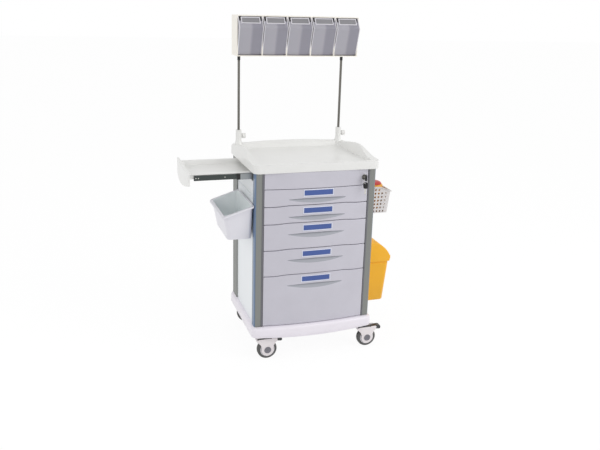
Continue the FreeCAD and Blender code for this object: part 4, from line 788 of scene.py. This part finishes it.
class TROLLEY_OT_body(Maker, bpy.types.Operator):
    """Build the corner posts with their strips and seals, and dress the panels and brackets"""
    bl_idname = "trolley.body"
    bl_label = "Posts and panels"

    def make(self, sizes):
        low, high = span("corner_posts")
        front = self.front_post(low.z, high.z, sizes.flute / MM)
        rear = self.rear_post(low.z, high.z, sizes.flute / MM)
        put("post_extrusions", *joined(*both(front), *both(rear)), ["anodised"], "cart", ["corner_posts"],
            "anodised_post", smooth=28, edge=0.3)
        put("post_strips", *joined(*both(self.strip(low.z, high.z))), ["strip"], "cart", ["post_inlays"],
            "blue_strip", smooth=28, edge=0.2)
        z0, z1 = low.z + 0.4, high.z - 0.4
        seal = plate([(249.2, z0), (256.5, z0), (256.5, z1), (249.2, z1)], -225.2, -222.5)
        put("post_seals", *joined(*both(seal)), ["seal"], "cart", (), "anodised_post", edge=0.6)
        dress("side_panel_left", ["panel"], "panel_left", "panel_white", edge=0.4)
        dress("side_panel_right", ["panel"], "panel_right", "panel_white", edge=0.4)
        dress("back_panel", ["panel"], "panel_back", "panel_white", edge=0.6)
        low, high = span("back_panel")
        spots = [(x, high.y + 0.02, z) for x in (-239, 0, 239)
                 for z in np.linspace(low.z + 14, high.z - 14, 6)]
        screws = grown("panel_screws", spots, [], [], screw_tree(),
                       {"Head": sizes.screw, "Material": FINISH["zinc"]})
        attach(screws, "cart")
        coat("drawer_guides", "zinc")
        coat("castor_stems", "zinc")
        coat("hanging_brackets", "zinc")

    def flutes(self, start, end, count, depth):
        """Places and depths of shallow round grooves between two limits."""
        pitch = (end - start) / count
        made = []
        for n in range(count):
            for t in (-1, -0.6, -0.2, 0.2, 0.6, 1):
                made.append((start + (n + 0.5 + 0.38 * t) * pitch, depth * (1 - t * t)))
        return made

    def front_post(self, low, high, depth):
        """Right-hand front extrusion: fluted face, rounded corner and the seat of its strip."""
        outline = [(POST_INNER, FRONT_Y)]
        outline += [(x, FRONT_Y + d) for x, d in self.flutes(250.5, 275, 3, depth)]
        outline += arc_points(*FRONT_CORNER, POST_ROUND, -90, -48, 6)
        outline += arc_points(*FRONT_CORNER, POST_ROUND - 1, -48, 0, 6)
        outline += [(POST_OUTER - 1, -185), (POST_OUTER, -185), (POST_OUTER, POST_FRONT),
                    (POST_INNER, POST_FRONT)]
        return prism(outline, low, high)

    def strip(self, low, high):
        """Right-hand coloured strip, wrapped round the post's corner."""
        outline = arc_points(*FRONT_CORNER, POST_ROUND, -46, 0, 7)
        outline += [(POST_OUTER, -185.4), (287.1, -185.4)]
        return prism(outline + arc_points(*FRONT_CORNER, 11.1, 0, -46, 7), low + 0.2, high - 0.2)

    def rear_post(self, low, high, depth):
        """Right-hand rear extrusion, fluted along its outer side."""
        outline = [(POST_INNER, POST_REAR)]
        outline += [(POST_OUTER - d, y) for y, d in self.flutes(136, 219, 5, depth)]
        outline += arc_points(*REAR_CORNER, POST_ROUND, 0, 90, 8) + [(POST_INNER, POST_BACK)]
        return prism(outline, low, high)


HOLDER = (-69, 75)   # left and right edge of a drawer's label holder
CARD = (-66, 70)     # and of its card


class TROLLEY_OT_drawers(Maker, bpy.types.Operator):
    """Build the five drawers with their labels, and the rail above them"""
    bl_idname = "trolley.drawers"
    bl_label = "Drawers"

    def make(self, sizes):
        dress("fascia", ["grey ABS"], "lock_rail", "front_lilac_grey", edge=1.0)
        for n in range(1, DRAWERS + 1):
            name = f"drawer_{n}"
            low, high = span(name + "_front")
            tag_low, tag_high = span(name + "_label")
            top = high.z - (HUMP if n > 1 else 0)
            rings = drawer_rings(low.z, top, n < DRAWERS, n > 1, tag_low.z - 12)
            # The scoop's faces take the darker copy of the ABS: painted shade.
            put(name + "_face", *skin(rings), ["grey ABS", "grained ABS"], name, [name + "_front"],
                "front_lilac_grey", smooth=40, groups=self.scoop_faces(rings))
            # The narrow solids beside the box are its slide members.
            dress(name + "_box", ["box", "zinc"], name + "_tray", "abs_white", edge=0.5,
                  pick=lambda low, high: int(high.x - low.x < 30))
            # The holder's pale rim is a painted highlight.
            holder = rim(on_front, *HOLDER, tag_low.z, tag_high.z + 8, sizes.label_frame / MM, -1.0, 2.2)
            put(name + "_holder", *holder, ["holder"], name, (), "label_blue", edge=0.5)
            card = slab(on_front, *CARD, tag_low.z + 4.5, tag_high.z + 4.5, -1.0, 0.9)
            put(name + "_card", *card, ["card"], name, [name + "_label"], "label_blue", edge=0.2)

    def scoop_faces(self, rings):
        """Material number of each face of a front: 1 in the finger scoop, whose darker finish is painted
        shade.
        """
        groups = []
        first = EDGE_STEPS + PLAIN_STEPS
        last = first + len(SCOOP_STEPS) - 1
        for ring in rings[:-1]:
            inside = abs(ring[0][0] + 2) < SCOOP_HALF - 2
            groups += [int(inside and first <= n < last) for n in range(len(ring))]
        return groups + [0, 0]


class TROLLEY_OT_lock(Maker, bpy.types.Operator):
    """Build the lock and both keys"""
    bl_idname = "trolley.lock"
    bl_label = "Lock and keys"

    def make(self, sizes):
        dress("lock_body", ["nickel"], "lock_cylinder", "lock_nickel", edge=0.4)
        # The nickel solids are lower than the black bows, so their height tells them apart.
        dress("key", ["black", "nickel"], "key_in_lock", "key_black", edge=0.5,
              pick=lambda low, high: int(high.z - low.z < 25))
        dress("spare_key", ["black", "nickel"], "key_on_ring", "key_black", edge=0.4,
              pick=lambda low, high: int(high.z - low.z < 28))


class TROLLEY_OT_side_shelf(Maker, bpy.types.Operator):
    """Build the pull-out side shelf"""
    bl_idname = "trolley.side_shelf"
    bl_label = "Side shelf"

    def make(self, sizes):
        dress("shelf_tray", ["white ABS"], "shelf_top", "abs_white", edge=1.2)
        dress("shelf_end_panel", ["white ABS"], "shelf_end", "abs_white", edge=1.5)
        dress("shelf_slides_inner", ["dark steel"], "shelf_slide_inner", "slide_steel", edge=0.4)
        dress("shelf_slides_middle", ["zinc"], "shelf_slide_middle", "slide_steel", edge=0.4)
        low, high = span("shelf_slides_inner")
        z = (low.z + high.z) / 2
        proud = 0.12  # nearly flush, so that they clear the next slide member
        rivets = [turned([(-proud, 2.1), (-0.08, 2.4), (0.4, 2.4)], (x, low.y, z), "Y", 20)
                  for x in (low.x + 9, low.x + 20, low.x + 138)]
        put("shelf_rivets", *joined(*rivets), ["nickel"], "shelf", (), "slide_steel")
        low, high = span("shelf_slides_middle")
        catches = [brick(low.x + 0.2, low.x + 17, a, b, z - 13.3, z + 13.3)
                   for a, b in ((low.y - proud, low.y + 2), (high.y - 2, high.y + proud))]
        put("shelf_catches", *joined(*catches), ["black"], "shelf_middle", (), "slide_steel")


class TROLLEY_OT_rack(Maker, bpy.types.Operator):
    """Build the raised rack, its tip-out bins and poles"""
    bl_idname = "trolley.rack"
    bl_label = "Rack and poles"

    def make(self, sizes):
        dress("rack_housing", ["cream"], "rack_case", "rack_white", edge=1.0)
        for n in range(1, BINS + 1):
            name = f"tip_bin_{n}"
            dress(name, ["clear"], name + "_shell", "bin_clear", edge=0.6)
            self.tag(name)
        dress("pole_clamps", ["white ABS"], "pole_sleeves", "clamp_white", edge=0.8)
        for side in ("left", "right"):
            dress("clamp_knob_" + side, ["white ABS"], "pole_knob_" + side, "clamp_white", edge=0.8)
        low, high = span("rack_poles")
        under = span("rack_housing")[0].z - 1.5
        places = [(x, (low.y + high.y) / 2) for x in (low.x + 9, high.x - 9)]
        tubes = [turned([(low.z, 6), (high.z, 6)], (x, y, 0), "Z", 40) for x, y in places]
        put("rack_tubes", *joined(*tubes), ["stainless"], "rack", ["rack_poles"], "pole_steel", edge=0.4)
        collars = [turned([(-25, 7.2), (0, 7.2)], (x, y, under), "Z") for x, y in places]
        put("pole_collars", *joined(*collars), ["black"], "rack", (), "pole_steel", edge=1.5)

    def tag(self, name):
        """White label frame with a grey card on a bin's leaning upper front."""
        low, high = span(name)
        case_low, case_high = span("rack_housing")
        top = Vector((0, case_low.y + 3, case_high.z - 4.8))
        down = Vector((0, -33, -49.2)).normalized()
        out = Vector((0, down.z, -down.y))
        middle = (low.x + high.x) / 2

        def place(u, v, w):
            return (middle + u, *(top + down * v + out * w)[1:])

        # White strips along the bent front edges of the bin's side walls, in Y and Z.
        bent = [(103.2, 1565.4), (70.1, 1516), (110, 1398), (112.6, 1398), (73.4, 1516), (106, 1565.4)]
        edges = [skin([[(x, y, z) for y, z in bent] for x in (a, a + 3.6)])
                 for a in (low.x + 1.4, high.x - 5)]
        put(name + "_edges", *joined(*edges), ["white frame"], name, (), "bin_clear", edge=0.4)
        half = (high.x - low.x) * 0.385
        put(name + "_frame", *rim(place, -half, half, 4, 38, 4.5, -1, 2.6, 4), ["white frame"], name, (),
            "bin_clear", edge=0.8)
        put(name + "_slip", *slab(place, -half + 4, half - 4, 8, 34, -0.6, 0.4, 4), ["slip"], name, (),
            "bin_clear")


class TROLLEY_OT_castors(Maker, bpy.types.Operator):
    """Build the four castors and the two brake pedals"""
    bl_idname = "trolley.castors"
    bl_label = "Castors"

    def make(self, sizes):
        for place in CASTORS:
            low, high = span("wheel_" + place)
            axle = ((low.x + high.x) / 2, (low.y + high.y) / 2, (low.z + high.z) / 2)
            braked = place in CASTORS[:2]
            tyre, rim_part = self.tyre(axle), self.rim(axle)
            put("castor_wheel_" + place, *joined(tyre, rim_part), ["tyre", "wheel centre"], "wheel_" + place,
                ["wheel_" + place], "tyre_grey", groups=[0] * len(tyre[1]) + [1] * len(rim_part[1]))
            fork = self.fork(axle, braked)
            put("castor_fork_" + place, *fork, ["nylon"], "castor_" + place, ["fork_" + place],
                "castor_white", smooth=50, edge=1.0)
            caps = [turned([(17 * side, 16.5), (21.4 * side, 16.5), (22.4 * side, 15.4), (22.4 * side, 9.5),
                            (21.6 * side, 8.6)], axle, "Y") for side in (-1, 1)]
            put("axle_caps_" + place, *joined(*caps), ["hub cap"], "castor_" + place, (), "pedal_dark",
                smooth=25)
            put("bearing_plate_" + place, *self.bearing_plate(axle, braked), ["dark nylon"],
                "castor_" + place, (), "pedal_dark", edge=0.8)
            if braked:
                put("brake_pedal_" + place, *self.pedal(axle), ["dark nylon"], "pedal_" + place,
                    ["pedal_" + place], "pedal_dark", smooth=40, edge=1.2)

    def tyre(self, axle):
        """Rubber tyre: round shoulders and two shallow grooves in its tread."""
        shoulder = arc_points(5.5, 39.5, 8, 90, 0, 8)
        profile = [(-13.5, 34.5)] + [(-a, r) for a, r in reversed(shoulder)]
        for middle in (-3.0, 3.0):
            profile += [(middle + a, r) for a, r in ((-0.9, 47.5), (-0.5, 46.6), (0.5, 46.6), (0.9, 47.5))]
        return turned(profile + shoulder + [(13.5, 34.5)], axle, "Y", 72, hollow=True)

    def rim(self, axle):
        """White wheel centre, dished between its hub and its edge."""
        half = [(14.8, 7), (14.8, 13.5), (12.6, 15.5), (11.2, 19), (11.2, 29.5), (12.9, 32.5), (13.3, 34.5)]
        return turned([(-a, r) for a, r in half] + list(reversed(half)), axle, "Y", 72)

    def fork(self, axle, braked):
        """White fork: two cheeks drawn in to the axle, a roof over the wheel and the swivel barrel."""
        x, y, z = axle
        neck = [(48, 50), (46.5, 44), (42, 37.5), (36, 31), (31.5, 24), (29, 17)]
        outline = [(-54, 49), (-53.5, 53), (-50, 56.5), (-45, 57.5), (40, 57.5), (45, 56.5), (47.8, 54)]
        outline += neck + arc_points(0, 0, 30, 22, -202, 22)
        outline += [(-30.5, 18), (-33, 25), (-38, 32), (-45, 38.5), (-51.5, 43)]
        outline = [(x + a, z + c) for a, c in outline]
        cheeks = [plate(outline, y + a, y + b) for a, b in ((-20, -15.5), (15.5, 20))]
        end = 20 if braked else 44
        roof = [(-53.6, 47), (-53.6, 52), (-50, 56.4), (-45, 57.4), (end, 57.4), (end, 52.5), (-44, 52.5),
                (-47.5, 51.5), (-49, 49), (-49, 47)]
        if not braked:
            roof[4:6] = [(40, 57.4), (45, 56.4), (47.6, 52), (47.6, 47), (43.5, 47), (43.5, 50), (40, 52.5)]
        roof = plate([(x + a, z + c) for a, c in roof], y - 15.6, y + 15.6)
        barrel = turned([(z + 55, 17), (z + 62.5, 17), (z + 63.5, 16)], (x - 33, y, 0), "Z", 40)
        return joined(*cheeks, roof, barrel)

    def bearing_plate(self, axle, braked):
        """Dark plate bent over the fork's top, with its ends turned down."""
        x, y, z = axle
        end = 19 if braked else 43
        top = [(-51, 55), (-46, 59.4), (-36, 61.2), (end - 12, 61.2), (end, 58.6)]
        under = [(end - 1, 56), (end - 13, 57.6), (-36, 57.6), (-45, 56.8), (-49, 53.5)]
        return plate([(x + a, z + c) for a, c in top + under], y - 21.2, y + 21.2)

    def pedal(self, axle):
        """Brake pedal: a flat arm out of the fork and a thick block for the toe."""
        x, y, z = axle
        outline = [(28, 44.5), (28, 53), (40, 54), (46, 57.5), (64, 57.5), (70, 54.5), (73, 47.5),
                   (72.5, 39.5), (67, 36.5), (52, 38.5), (43, 43), (34, 43.5)]
        return plate([(x + a, z + c) for a, c in outline], y - 12, y + 12)


# The side containers hang against the side walls.
SIDE = 292.0         # inner plane of the containers
TUB_FALL = 46.0      # how far the tub's rim falls
TUB_REACH = 140.0    # over this length outwards
WASTE_TOP = 421.0    # top of the waste bin's outer wall
WASTE_FLOOR = 129.0  # how far the waste bin reaches at its floor
WASTE_FLARE = 18.0   # and how much further at its top
LID_START = 296.5    # inner end of the waste lid
LID_WALL = 2.5       # its thickness
LID_BAND = 430       # the lid's flared band lies below this height and keeps its level all along


class TROLLEY_OT_containers(Maker, bpy.types.Operator):
    """Build the tub, sharps container and waste bin on the sides"""
    bl_idname = "trolley.containers"
    bl_label = "Side containers"

    def make(self, sizes):
        self.tub()
        self.sharps()
        self.waste()

    def tub(self):
        """White tub with its inside painted lighter, for the light through its walls, and a thick rolled rim.
        """
        low, high = span("side_tub")
        piece = dress("side_tub", ["tub", "tub inside painted light"], "side_tub_moulding", "tub_white", edge=1.0)
        middle = (low + high) / 2 * MM + SHIFT
        # Faces that look into the tub take the lighter copy of the polypropylene: painted light.
        for face in piece.data.polygons:
            face.material_index = int((middle - face.center).dot(face.normal) > 0)

        def plan(out):
            x0, y0, y1 = low.x - out, low.y - out, high.y + out
            radius = 12 + out
            left = arc_points(x0 + radius, y1 - radius, radius, 90, 180, 10)
            left += arc_points(x0 + radius, y0 + radius, radius, 180, 270, 10)
            inner = 291 + out * 0.3
            return left + [(-inner, y0), (-inner, y1)]

        section = [(-3.2, -4), (3.4, -7.5), (4.6, -6.5), (4.6, -1.2), (3.4, 0.6), (-2, 0.6), (-3.2, -0.6)]
        loops = [[(x, y, high.z - TUB_FALL * (-SIDE - x) / TUB_REACH + c) for x, y in plan(out)]
                 for out, c in section]
        rings = [list(one) for one in zip(*loops)]
        put("side_tub_rim", *skin(rings, loop=True), ["tub"], "side_tub", (), "tub_white", smooth=50)

    def sharps(self):
        """Round sharps container: tapered amber body, wide collar and a domed red cap."""
        low, high = span("sharps_body")
        centre = ((low.x + high.x) / 2, (low.y + high.y) / 2, 0)
        body = [(low.z, 38), (low.z + 2, 40), (high.z - 22, 43.2), (high.z - 20, 44), (high.z - 4, 44),
                (high.z, 43), (high.z, 40.5), (low.z + 4, 37.5)]
        put("sharps_pot", *turned(body, centre, "Z", 64), ["amber"], "sharps", ["sharps_body"],
            "sharps_amber")
        low, high = span("sharps_ring")
        top = high.z + 10.5  # the collar stands higher than its solid
        collar = [(low.z, 28.2), (low.z, 48), (low.z + 2, 50), (top - 7, 50), (top - 2.5, 47.5),
                  (top, 44), (top, 28.2)]
        put("sharps_collar", *turned(collar, centre, "Z", 64, hollow=True), ["amber"], "sharps",
            ["sharps_ring"], "sharps_amber", smooth=50)
        seat = span("sharps_cap")[0].z
        cap = [(seat, 27), (top + 0.4, 27), (top + 0.4, 42), (top + 3.5, 42.6), (top + 7.5, 40),
               (top + 11, 34), (top + 13.6, 25), (top + 15, 13), (top + 15.3, 0.5)]
        put("sharps_lid", *turned(cap, centre, "Z", 64), ["red"], "sharps_cap", ["sharps_cap"], "sharps_red",
            smooth=50, edge=0.6)

    def waste(self):
        """Tapered waste bin with a rolled rim, and its domed lid with a flared band."""
        bottom = span("waste_bin")[0].z

        def plan(share, inset):
            outer = SIDE + WASTE_FLOOR + WASTE_FLARE * share - inset
            front, rear = -102.0 - 9 * share + inset, 104.0 + 9 * share - inset
            radius = 20.0 - inset
            ring = [(SIDE + inset, front), (outer - radius, front)]
            ring += arc_points(outer - radius, front + radius, radius, -82, -8, 8) + [(outer, front + radius)]
            ring += [(outer, rear - radius)] + arc_points(outer - radius, rear - radius, radius, 8, 82, 8)
            return ring + [(outer - radius, rear), (SIDE + inset, rear)]

        # Share of the height, inset and lift of each section, up the outside and down the inside.
        shape = [(0.0, 6, 0), (0.0, 2, 0.5), (0.005, -0.5, 3), (0.86, -1.5, 0), (0.868, 1.5, 0),
                 (0.895, 1.5, 0), (0.9, -0.5, 0), (0.995, -1, 0), (1.0, 0.5, 0), (1.0, 3, 0),
                 (0.96, 3, 0), (0.02, 4, 0)]
        rings = [[(x, y, bottom + (WASTE_TOP - bottom) * share + lift) for x, y in plan(share, inset)]
                 for share, inset, lift in shape]
        ears = [brick(SIDE, SIDE + 3, -98, 100, WASTE_TOP - 20, 498)]
        for y in (-98, 96):
            ear = [(SIDE, 490), (SIDE, 503), (299, 513), (304, 515), (309, 513), (312, 508), (309, 497),
                   (300, 490)]
            ears.append(plate(ear, y, y + 4))
        put("waste_bin_body", *joined(skin(rings), *ears), ["waste"], "waste_bin", ["waste_bin"],
            "waste_yellow", smooth=40, edge=0.5)
        low, high = span("waste_lid")
        dome = [(LID_START, 503.5), (312, 503.5), (320, 503), (328, 502), (338, 500.5), (350, 499),
                (364, 497.5), (372, 495.5), (384, 488), (397, 478.6), (412, 466), (422, 455.6),
                (431, 444), (436.5, 434.5), (439, 429.5), (443, 426), (444.5, 421), (444.5, 413),
                (442.6, 406), (441.9, 401), (441.6, 397)]
        ends = [(0, 4.5, 3), (1.4, 1.4, 1.6), (4.5, 0, 0)]  # along, inset and drop at each rounded end
        sections = [(low.y + along, inset, drop) for along, inset, drop in ends]
        sections += [(high.y - along, inset, drop) for along, inset, drop in reversed(ends)]
        rings = [[(max(x - inset, LID_START), y, z - drop * (z > LID_BAND)) for x, z in dome]
                 for y, inset, drop in sections]
        put("waste_bin_lid", *self.lid(rings), ["waste"], "waste_lid", ["waste_lid"], "waste_yellow",
            smooth=50, edge=0.4)

    def lid(self, rings):
        """Shell under a row of open sections, closed at both ends by side walls."""
        count = len(rings[0])
        inner = []
        end = len(rings) - 1
        for k, one in enumerate(rings):
            shift = LID_WALL if k == 0 else -LID_WALL if k == end else 0
            inner.append([(max(x - LID_WALL, LID_START), y + shift, z - LID_WALL * (z > LID_BAND))
                          for x, y, z in one])
        points = [p for one in rings + inner for p in one]
        start = len(rings) * count
        faces = []
        for k in range(end):
            for n in range(count - 1):
                a, b = k * count + n, (k + 1) * count + n
                faces.append((a, a + 1, b + 1, b))
                faces.append((start + a, start + b, start + b + 1, start + a + 1))
            a, b = k * count, (k + 1) * count
            faces.append((a, b, start + b, start + a))
            a, b = a + count - 1, b + count - 1
            faces.append((a, start + a, start + b, b))
        for k in (0, end):
            for base in (0, start):
                outline = [base + k * count + n for n in range(count)]
                points.append((LID_START, points[outline[-1]][1], points[outline[-1]][2]))
                faces.append((*outline, len(points) - 1))
            a, b = len(points) - 2, len(points) - 1
            first, last = k * count, k * count + count - 1
            faces.append((first, start + first, b, a))
            faces.append((last, a, b, start + last))
        return points, faces


# The basket, measured along its rim from the cart and round to the cart again.
BASKET_CORNER = 14.0  # radius of its two outer corners
BASKET_ARC = math.pi * BASKET_CORNER / 2
BASKET_RUNS = (124.0, BASKET_ARC, 110.0, BASKET_ARC, 124.0)
BASKET_CELL = 18.1    # pitch of its holes
CORNER_CELLS = 3      # plain cells round each corner
BASKET_FALL = 24.0    # how far its rim falls
BASKET_LEVEL = 366.0  # from this X on,
BASKET_SLOPE = 64.0   # over this length


class TROLLEY_OT_basket(Maker, bpy.types.Operator):
    """Build the perforated basket"""
    bl_idname = "trolley.basket"
    bl_label = "Basket"

    def make(self, sizes):
        low, high = span("basket")
        self.low, self.high = low.z + 0.3, high.z + 4
        cells = self.cells()
        tree = perforation_tree()
        settings = {"Hole": sizes.hole, "Thickness": -2.4 * MM, "Material": FINISH["basket"]}
        walls = grown("basket_walls", *cells, tree, settings)
        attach(walls, "basket")
        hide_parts("basket")
        walls.data.shade_smooth()
        walls.data.set_sharp_from_angle(angle=math.radians(40))
        section = [(-0.5, -3.5), (4, -3.5), (4.6, -2), (4.6, 0), (3, 0.8), (-1.5, 0.8), (-2.6, 0),
                   (-2.6, -3.5)]
        length = sum(BASKET_RUNS)
        lip = [[self.wall_point(s, self.rim_height(s) + c, a) for a, c in section]
               for s in np.linspace(0, length, 90)]
        floor = prism([self.wall_point(s, self.low, -1.0)[:2] for s in np.linspace(0, length, 60)],
                      low.z, low.z + 2.6)
        back = brick(SIDE, 294.4, low.y + 10, high.y - 10, low.z, self.high - 1)
        hook = [brick(286.8, 289.0, low.y + 10, high.y - 10, high.z - 26, high.z - 1),
                brick(286.8, 294, low.y + 10, high.y - 10, high.z - 3.4, high.z - 0.6)]
        put("basket_rim", *joined(skin(lip), floor, back, *hook), ["basket"], "basket", (), "tub_white",
            smooth=40, edge=0.4)

    def rim_height(self, s):
        """Height of the rim along the walls: level by the cart, sloping down further out."""
        x = self.wall_point(s, self.high, 0)[0]
        return self.high - 0.8 - BASKET_FALL * min(max((x - BASKET_LEVEL) / BASKET_SLOPE, 0.0), 1.0)

    def wall_point(self, s, z, out):
        """Point on the basket's wall, s along its rim from the cart, standing out by a distance."""
        share = (self.high - z) / (self.high - self.low)  # 0 at the rim, 1 at the floor
        # The walls lean: the outer one by 14 mm from rim to floor, the others by 6 mm.
        reach, front, rear = 138 - 14 * share + out, -110 + 6 * share - out, 30 - 6 * share + out
        radius = BASKET_CORNER
        outer = SIDE + reach
        if s <= BASKET_RUNS[0]:
            return SIDE + (reach - radius) * s / BASKET_RUNS[0], front, z
        s -= BASKET_RUNS[0]
        if s <= BASKET_ARC:
            angle = -math.pi / 2 + s / radius
            return outer - radius + radius * math.cos(angle), front + radius + radius * math.sin(angle), z
        s -= BASKET_ARC
        if s <= BASKET_RUNS[2]:
            return outer, front + radius + (rear - front - 2 * radius) * s / BASKET_RUNS[2], z
        s -= BASKET_RUNS[2]
        if s <= BASKET_ARC:
            angle = s / radius
            return outer - radius + radius * math.cos(angle), rear - radius + radius * math.sin(angle), z
        s -= BASKET_ARC
        return SIDE + (reach - radius) * (1 - s / BASKET_RUNS[4]), rear, z

    def cells(self):
        """Square cells of the walls: points, faces and whether each face carries a hole."""
        columns = []
        start = 0.0
        for k, length in enumerate(BASKET_RUNS):
            holed = k % 2 == 0  # the flat walls, between the corners
            if holed:
                count = int(length / BASKET_CELL)
                margin = (length - count * BASKET_CELL) / 2
                stops = [start + margin + n * BASKET_CELL for n in range(count + 1)]
                stops = [start] + stops + [start + length]
            else:
                stops = [start + length * n / CORNER_CELLS for n in range(CORNER_CELLS + 1)]
            columns += [(a, b, holed and b - a > BASKET_CELL * 0.9) for a, b in zip(stops, stops[1:])]
            start += length
        levels = [self.low + BASKET_CELL * n for n in range(8)] + [self.high + 5]
        points, faces, holes, known = [], [], [], {}

        def corner(s, z):
            spot = (round(s, 3), round(min(z, self.rim_height(s) - 1.5), 3))
            if spot not in known:
                known[spot] = len(points)
                points.append(self.wall_point(spot[0], spot[1], 0))
            return known[spot]

        for a, b, holed in columns:
            for z0, z1 in zip(levels, levels[1:]):
                loop = []
                for spot in (corner(a, z0), corner(b, z0), corner(b, z1), corner(a, z1)):
                    if spot not in loop:
                        loop.append(spot)
                if len(loop) > 2:
                    faces.append(tuple(loop))
                    lowest = min(self.rim_height(a), self.rim_height(b)) - 1.5
                    holes.append(holed and z1 < lowest)
        return points, faces, holes


FLOOR_REACH = 30.0  # half the floor's width, metres
CAMERA_AT = (-1.0348, -3.1019, 1.6249)  # metres from the worktop's middle, on the floor
LENS_SHIFT = (0.005, -0.03)
LAMPS = (  # name, setting of its power, width, place, the point that it lights; metres
    ("key lamp", "key", 2.2, (2.7, -2.3, 2.6), (0.1, 0, 0.7)),
    ("left lamp", "fill", 1.8, (-3.0, -0.9, 1.9), (0, 0, 0.7)),
)


class TROLLEY_OT_stage(bpy.types.Operator):
    """Set the floor, the light and the camera"""
    bl_idname = "trolley.stage"
    bl_label = "Stage"

    def execute(self, context):
        settings = context.scene.trolley_stage
        scene = context.scene
        scene.view_settings.view_transform = "Standard"
        self.floor()
        self.light(scene, settings)
        self.camera(scene, settings)
        return {"FINISHED"}

    def floor(self):
        """Plain pale floor that looks white to the eye and keeps the trolley's shadow."""
        mesh = bpy.data.meshes.new("floor")
        corners = [(-1, -1), (1, -1), (1, 1), (-1, 1)]
        mesh.from_pydata([(FLOOR_REACH * a, FLOOR_REACH * b, -0.0005) for a, b in corners], [],
                         [(0, 1, 2, 3)])
        floor = linked("floor", mesh)
        material = bpy.data.materials.new("matt white studio floor")
        material.use_nodes = True
        tree = material.node_tree
        tree.nodes.clear()
        paint = add(tree, "ShaderNodeBsdfDiffuse", (-300, 100), inputs={"Color": linear("#f4f4f4")})
        glow = add(tree, "ShaderNodeEmission", (-300, -100), inputs={"Color": (1, 1, 1, 1), "Strength": 1.03})
        seen = seen_directly(tree)
        share = add(tree, "ShaderNodeMath", (-300, 300), {"operation": "MULTIPLY"}, {1: 0.9}, {0: seen})
        mix = add(tree, "ShaderNodeMixShader", (0, 0),
                  links={0: share.outputs[0], 1: paint.outputs[0], 2: glow.outputs[0]})
        add(tree, "ShaderNodeOutputMaterial", (200, 0), links={"Surface": mix.outputs[0]})
        mesh.materials.append(material)

    def light(self, scene, settings):
        """White surroundings, a large soft lamp above and in front, and a weaker one on the left."""
        world = bpy.data.worlds.new("white studio")
        scene.world = world
        world.use_nodes = True
        tree = world.node_tree
        tree.nodes.clear()
        around = add(tree, "ShaderNodeBackground", (0, 100),
                     inputs={"Color": (1, 1, 1, 1), "Strength": settings.world})
        behind = add(tree, "ShaderNodeBackground", (0, -100),
                     inputs={"Color": (1, 1, 1, 1), "Strength": 1.0})
        mix = add(tree, "ShaderNodeMixShader", (200, 0),
                  links={0: seen_directly(tree), 1: around.outputs[0], 2: behind.outputs[0]})
        add(tree, "ShaderNodeOutputWorld", (400, 0), links={"Surface": mix.outputs[0]})
        for name, power, size, at, towards in LAMPS:
            lamp = bpy.data.lights.new(name, "AREA")
            lamp.energy = getattr(settings, power)
            lamp.size = size
            lamp_object = linked(name, lamp)
            lamp_object.location = at
            aim = Vector(towards) - Vector(at)
            lamp_object.rotation_euler = aim.to_track_quat("-Z", "Y").to_euler()

    def camera(self, scene, settings):
        """Camera in front, a little to the left and above the worktop."""
        data = bpy.data.cameras.new("camera")
        data.lens = settings.focal
        data.sensor_width = 36.0
        data.shift_x, data.shift_y = LENS_SHIFT
        camera = linked("camera", data)
        ahead = Vector((math.sin(settings.yaw) * math.cos(settings.pitch),
                        math.cos(settings.yaw) * math.cos(settings.pitch), math.sin(settings.pitch)))
        right = Vector((math.cos(settings.yaw), -math.sin(settings.yaw), 0))
        up = right.cross(ahead)
        tilted_right = math.cos(settings.roll) * right + math.sin(settings.roll) * up
        tilted_up = -math.sin(settings.roll) * right + math.cos(settings.roll) * up
        turn = Matrix((tilted_right, tilted_up, -ahead)).transposed().to_4x4()
        x, y, z = CAMERA_AT
        at = Vector((x + MIDDLE[0], y + MIDDLE[1], z))
        camera.matrix_world = Matrix.Translation(at) @ turn
        data.clip_end = 100
        scene.camera = camera


def seen_directly(tree):
    """Socket that is 1 for what the eye sees straight, mirrored or through glass."""
    path = add(tree, "ShaderNodeLightPath", (-900, 300))
    either = add(tree, "ShaderNodeMath", (-700, 300), {"operation": "MAXIMUM"},
                 links={0: path.outputs["Is Camera Ray"], 1: path.outputs["Is Glossy Ray"]})
    any_one = add(tree, "ShaderNodeMath", (-500, 300), {"operation": "MAXIMUM"},
                  links={0: either.outputs[0], 1: path.outputs["Is Transmission Ray"]})
    return any_one.outputs[0]


class TROLLEY_PT_panel(bpy.types.Panel):
    """Sidebar list of the makers"""
    bl_idname = "TROLLEY_PT_panel"
    bl_label = "Anaesthesia Trolley"
    bl_space_type = "VIEW_3D"
    bl_region_type = "UI"
    bl_category = "Trolley"

    def draw(self, context):
        for settings in GROUPS:
            group = getattr(context.scene, settings)
            for name in group.__annotations__:
                self.layout.prop(group, name)
        for maker in MAKERS:
            self.layout.operator(maker.bl_idname)


GROUPS = {"trolley_sizes": TrolleySizes, "trolley_colours": TrolleyColours, "trolley_stage": TrolleyStage}
MAKERS = (TROLLEY_OT_finishes, TROLLEY_OT_worktop, TROLLEY_OT_base, TROLLEY_OT_body, TROLLEY_OT_drawers,
          TROLLEY_OT_lock, TROLLEY_OT_side_shelf, TROLLEY_OT_rack, TROLLEY_OT_castors,
          TROLLEY_OT_containers, TROLLEY_OT_basket, TROLLEY_OT_stage)


def register():
    for kind in (*GROUPS.values(), *MAKERS, TROLLEY_PT_panel):
        bpy.utils.register_class(kind)
    for name, kind in GROUPS.items():
        setattr(bpy.types.Scene, name, PointerProperty(type=kind))


def unregister():
    for name in GROUPS:
        delattr(bpy.types.Scene, name)
    for kind in (TROLLEY_PT_panel, *reversed(MAKERS), *reversed(list(GROUPS.values()))):
        bpy.utils.unregister_class(kind)


def main():
    """Build everything in order."""
    register()
    for maker in MAKERS:
        getattr(bpy.ops.trolley, maker.bl_idname.split(".")[1])()


if __name__ == "__main__":
    main()
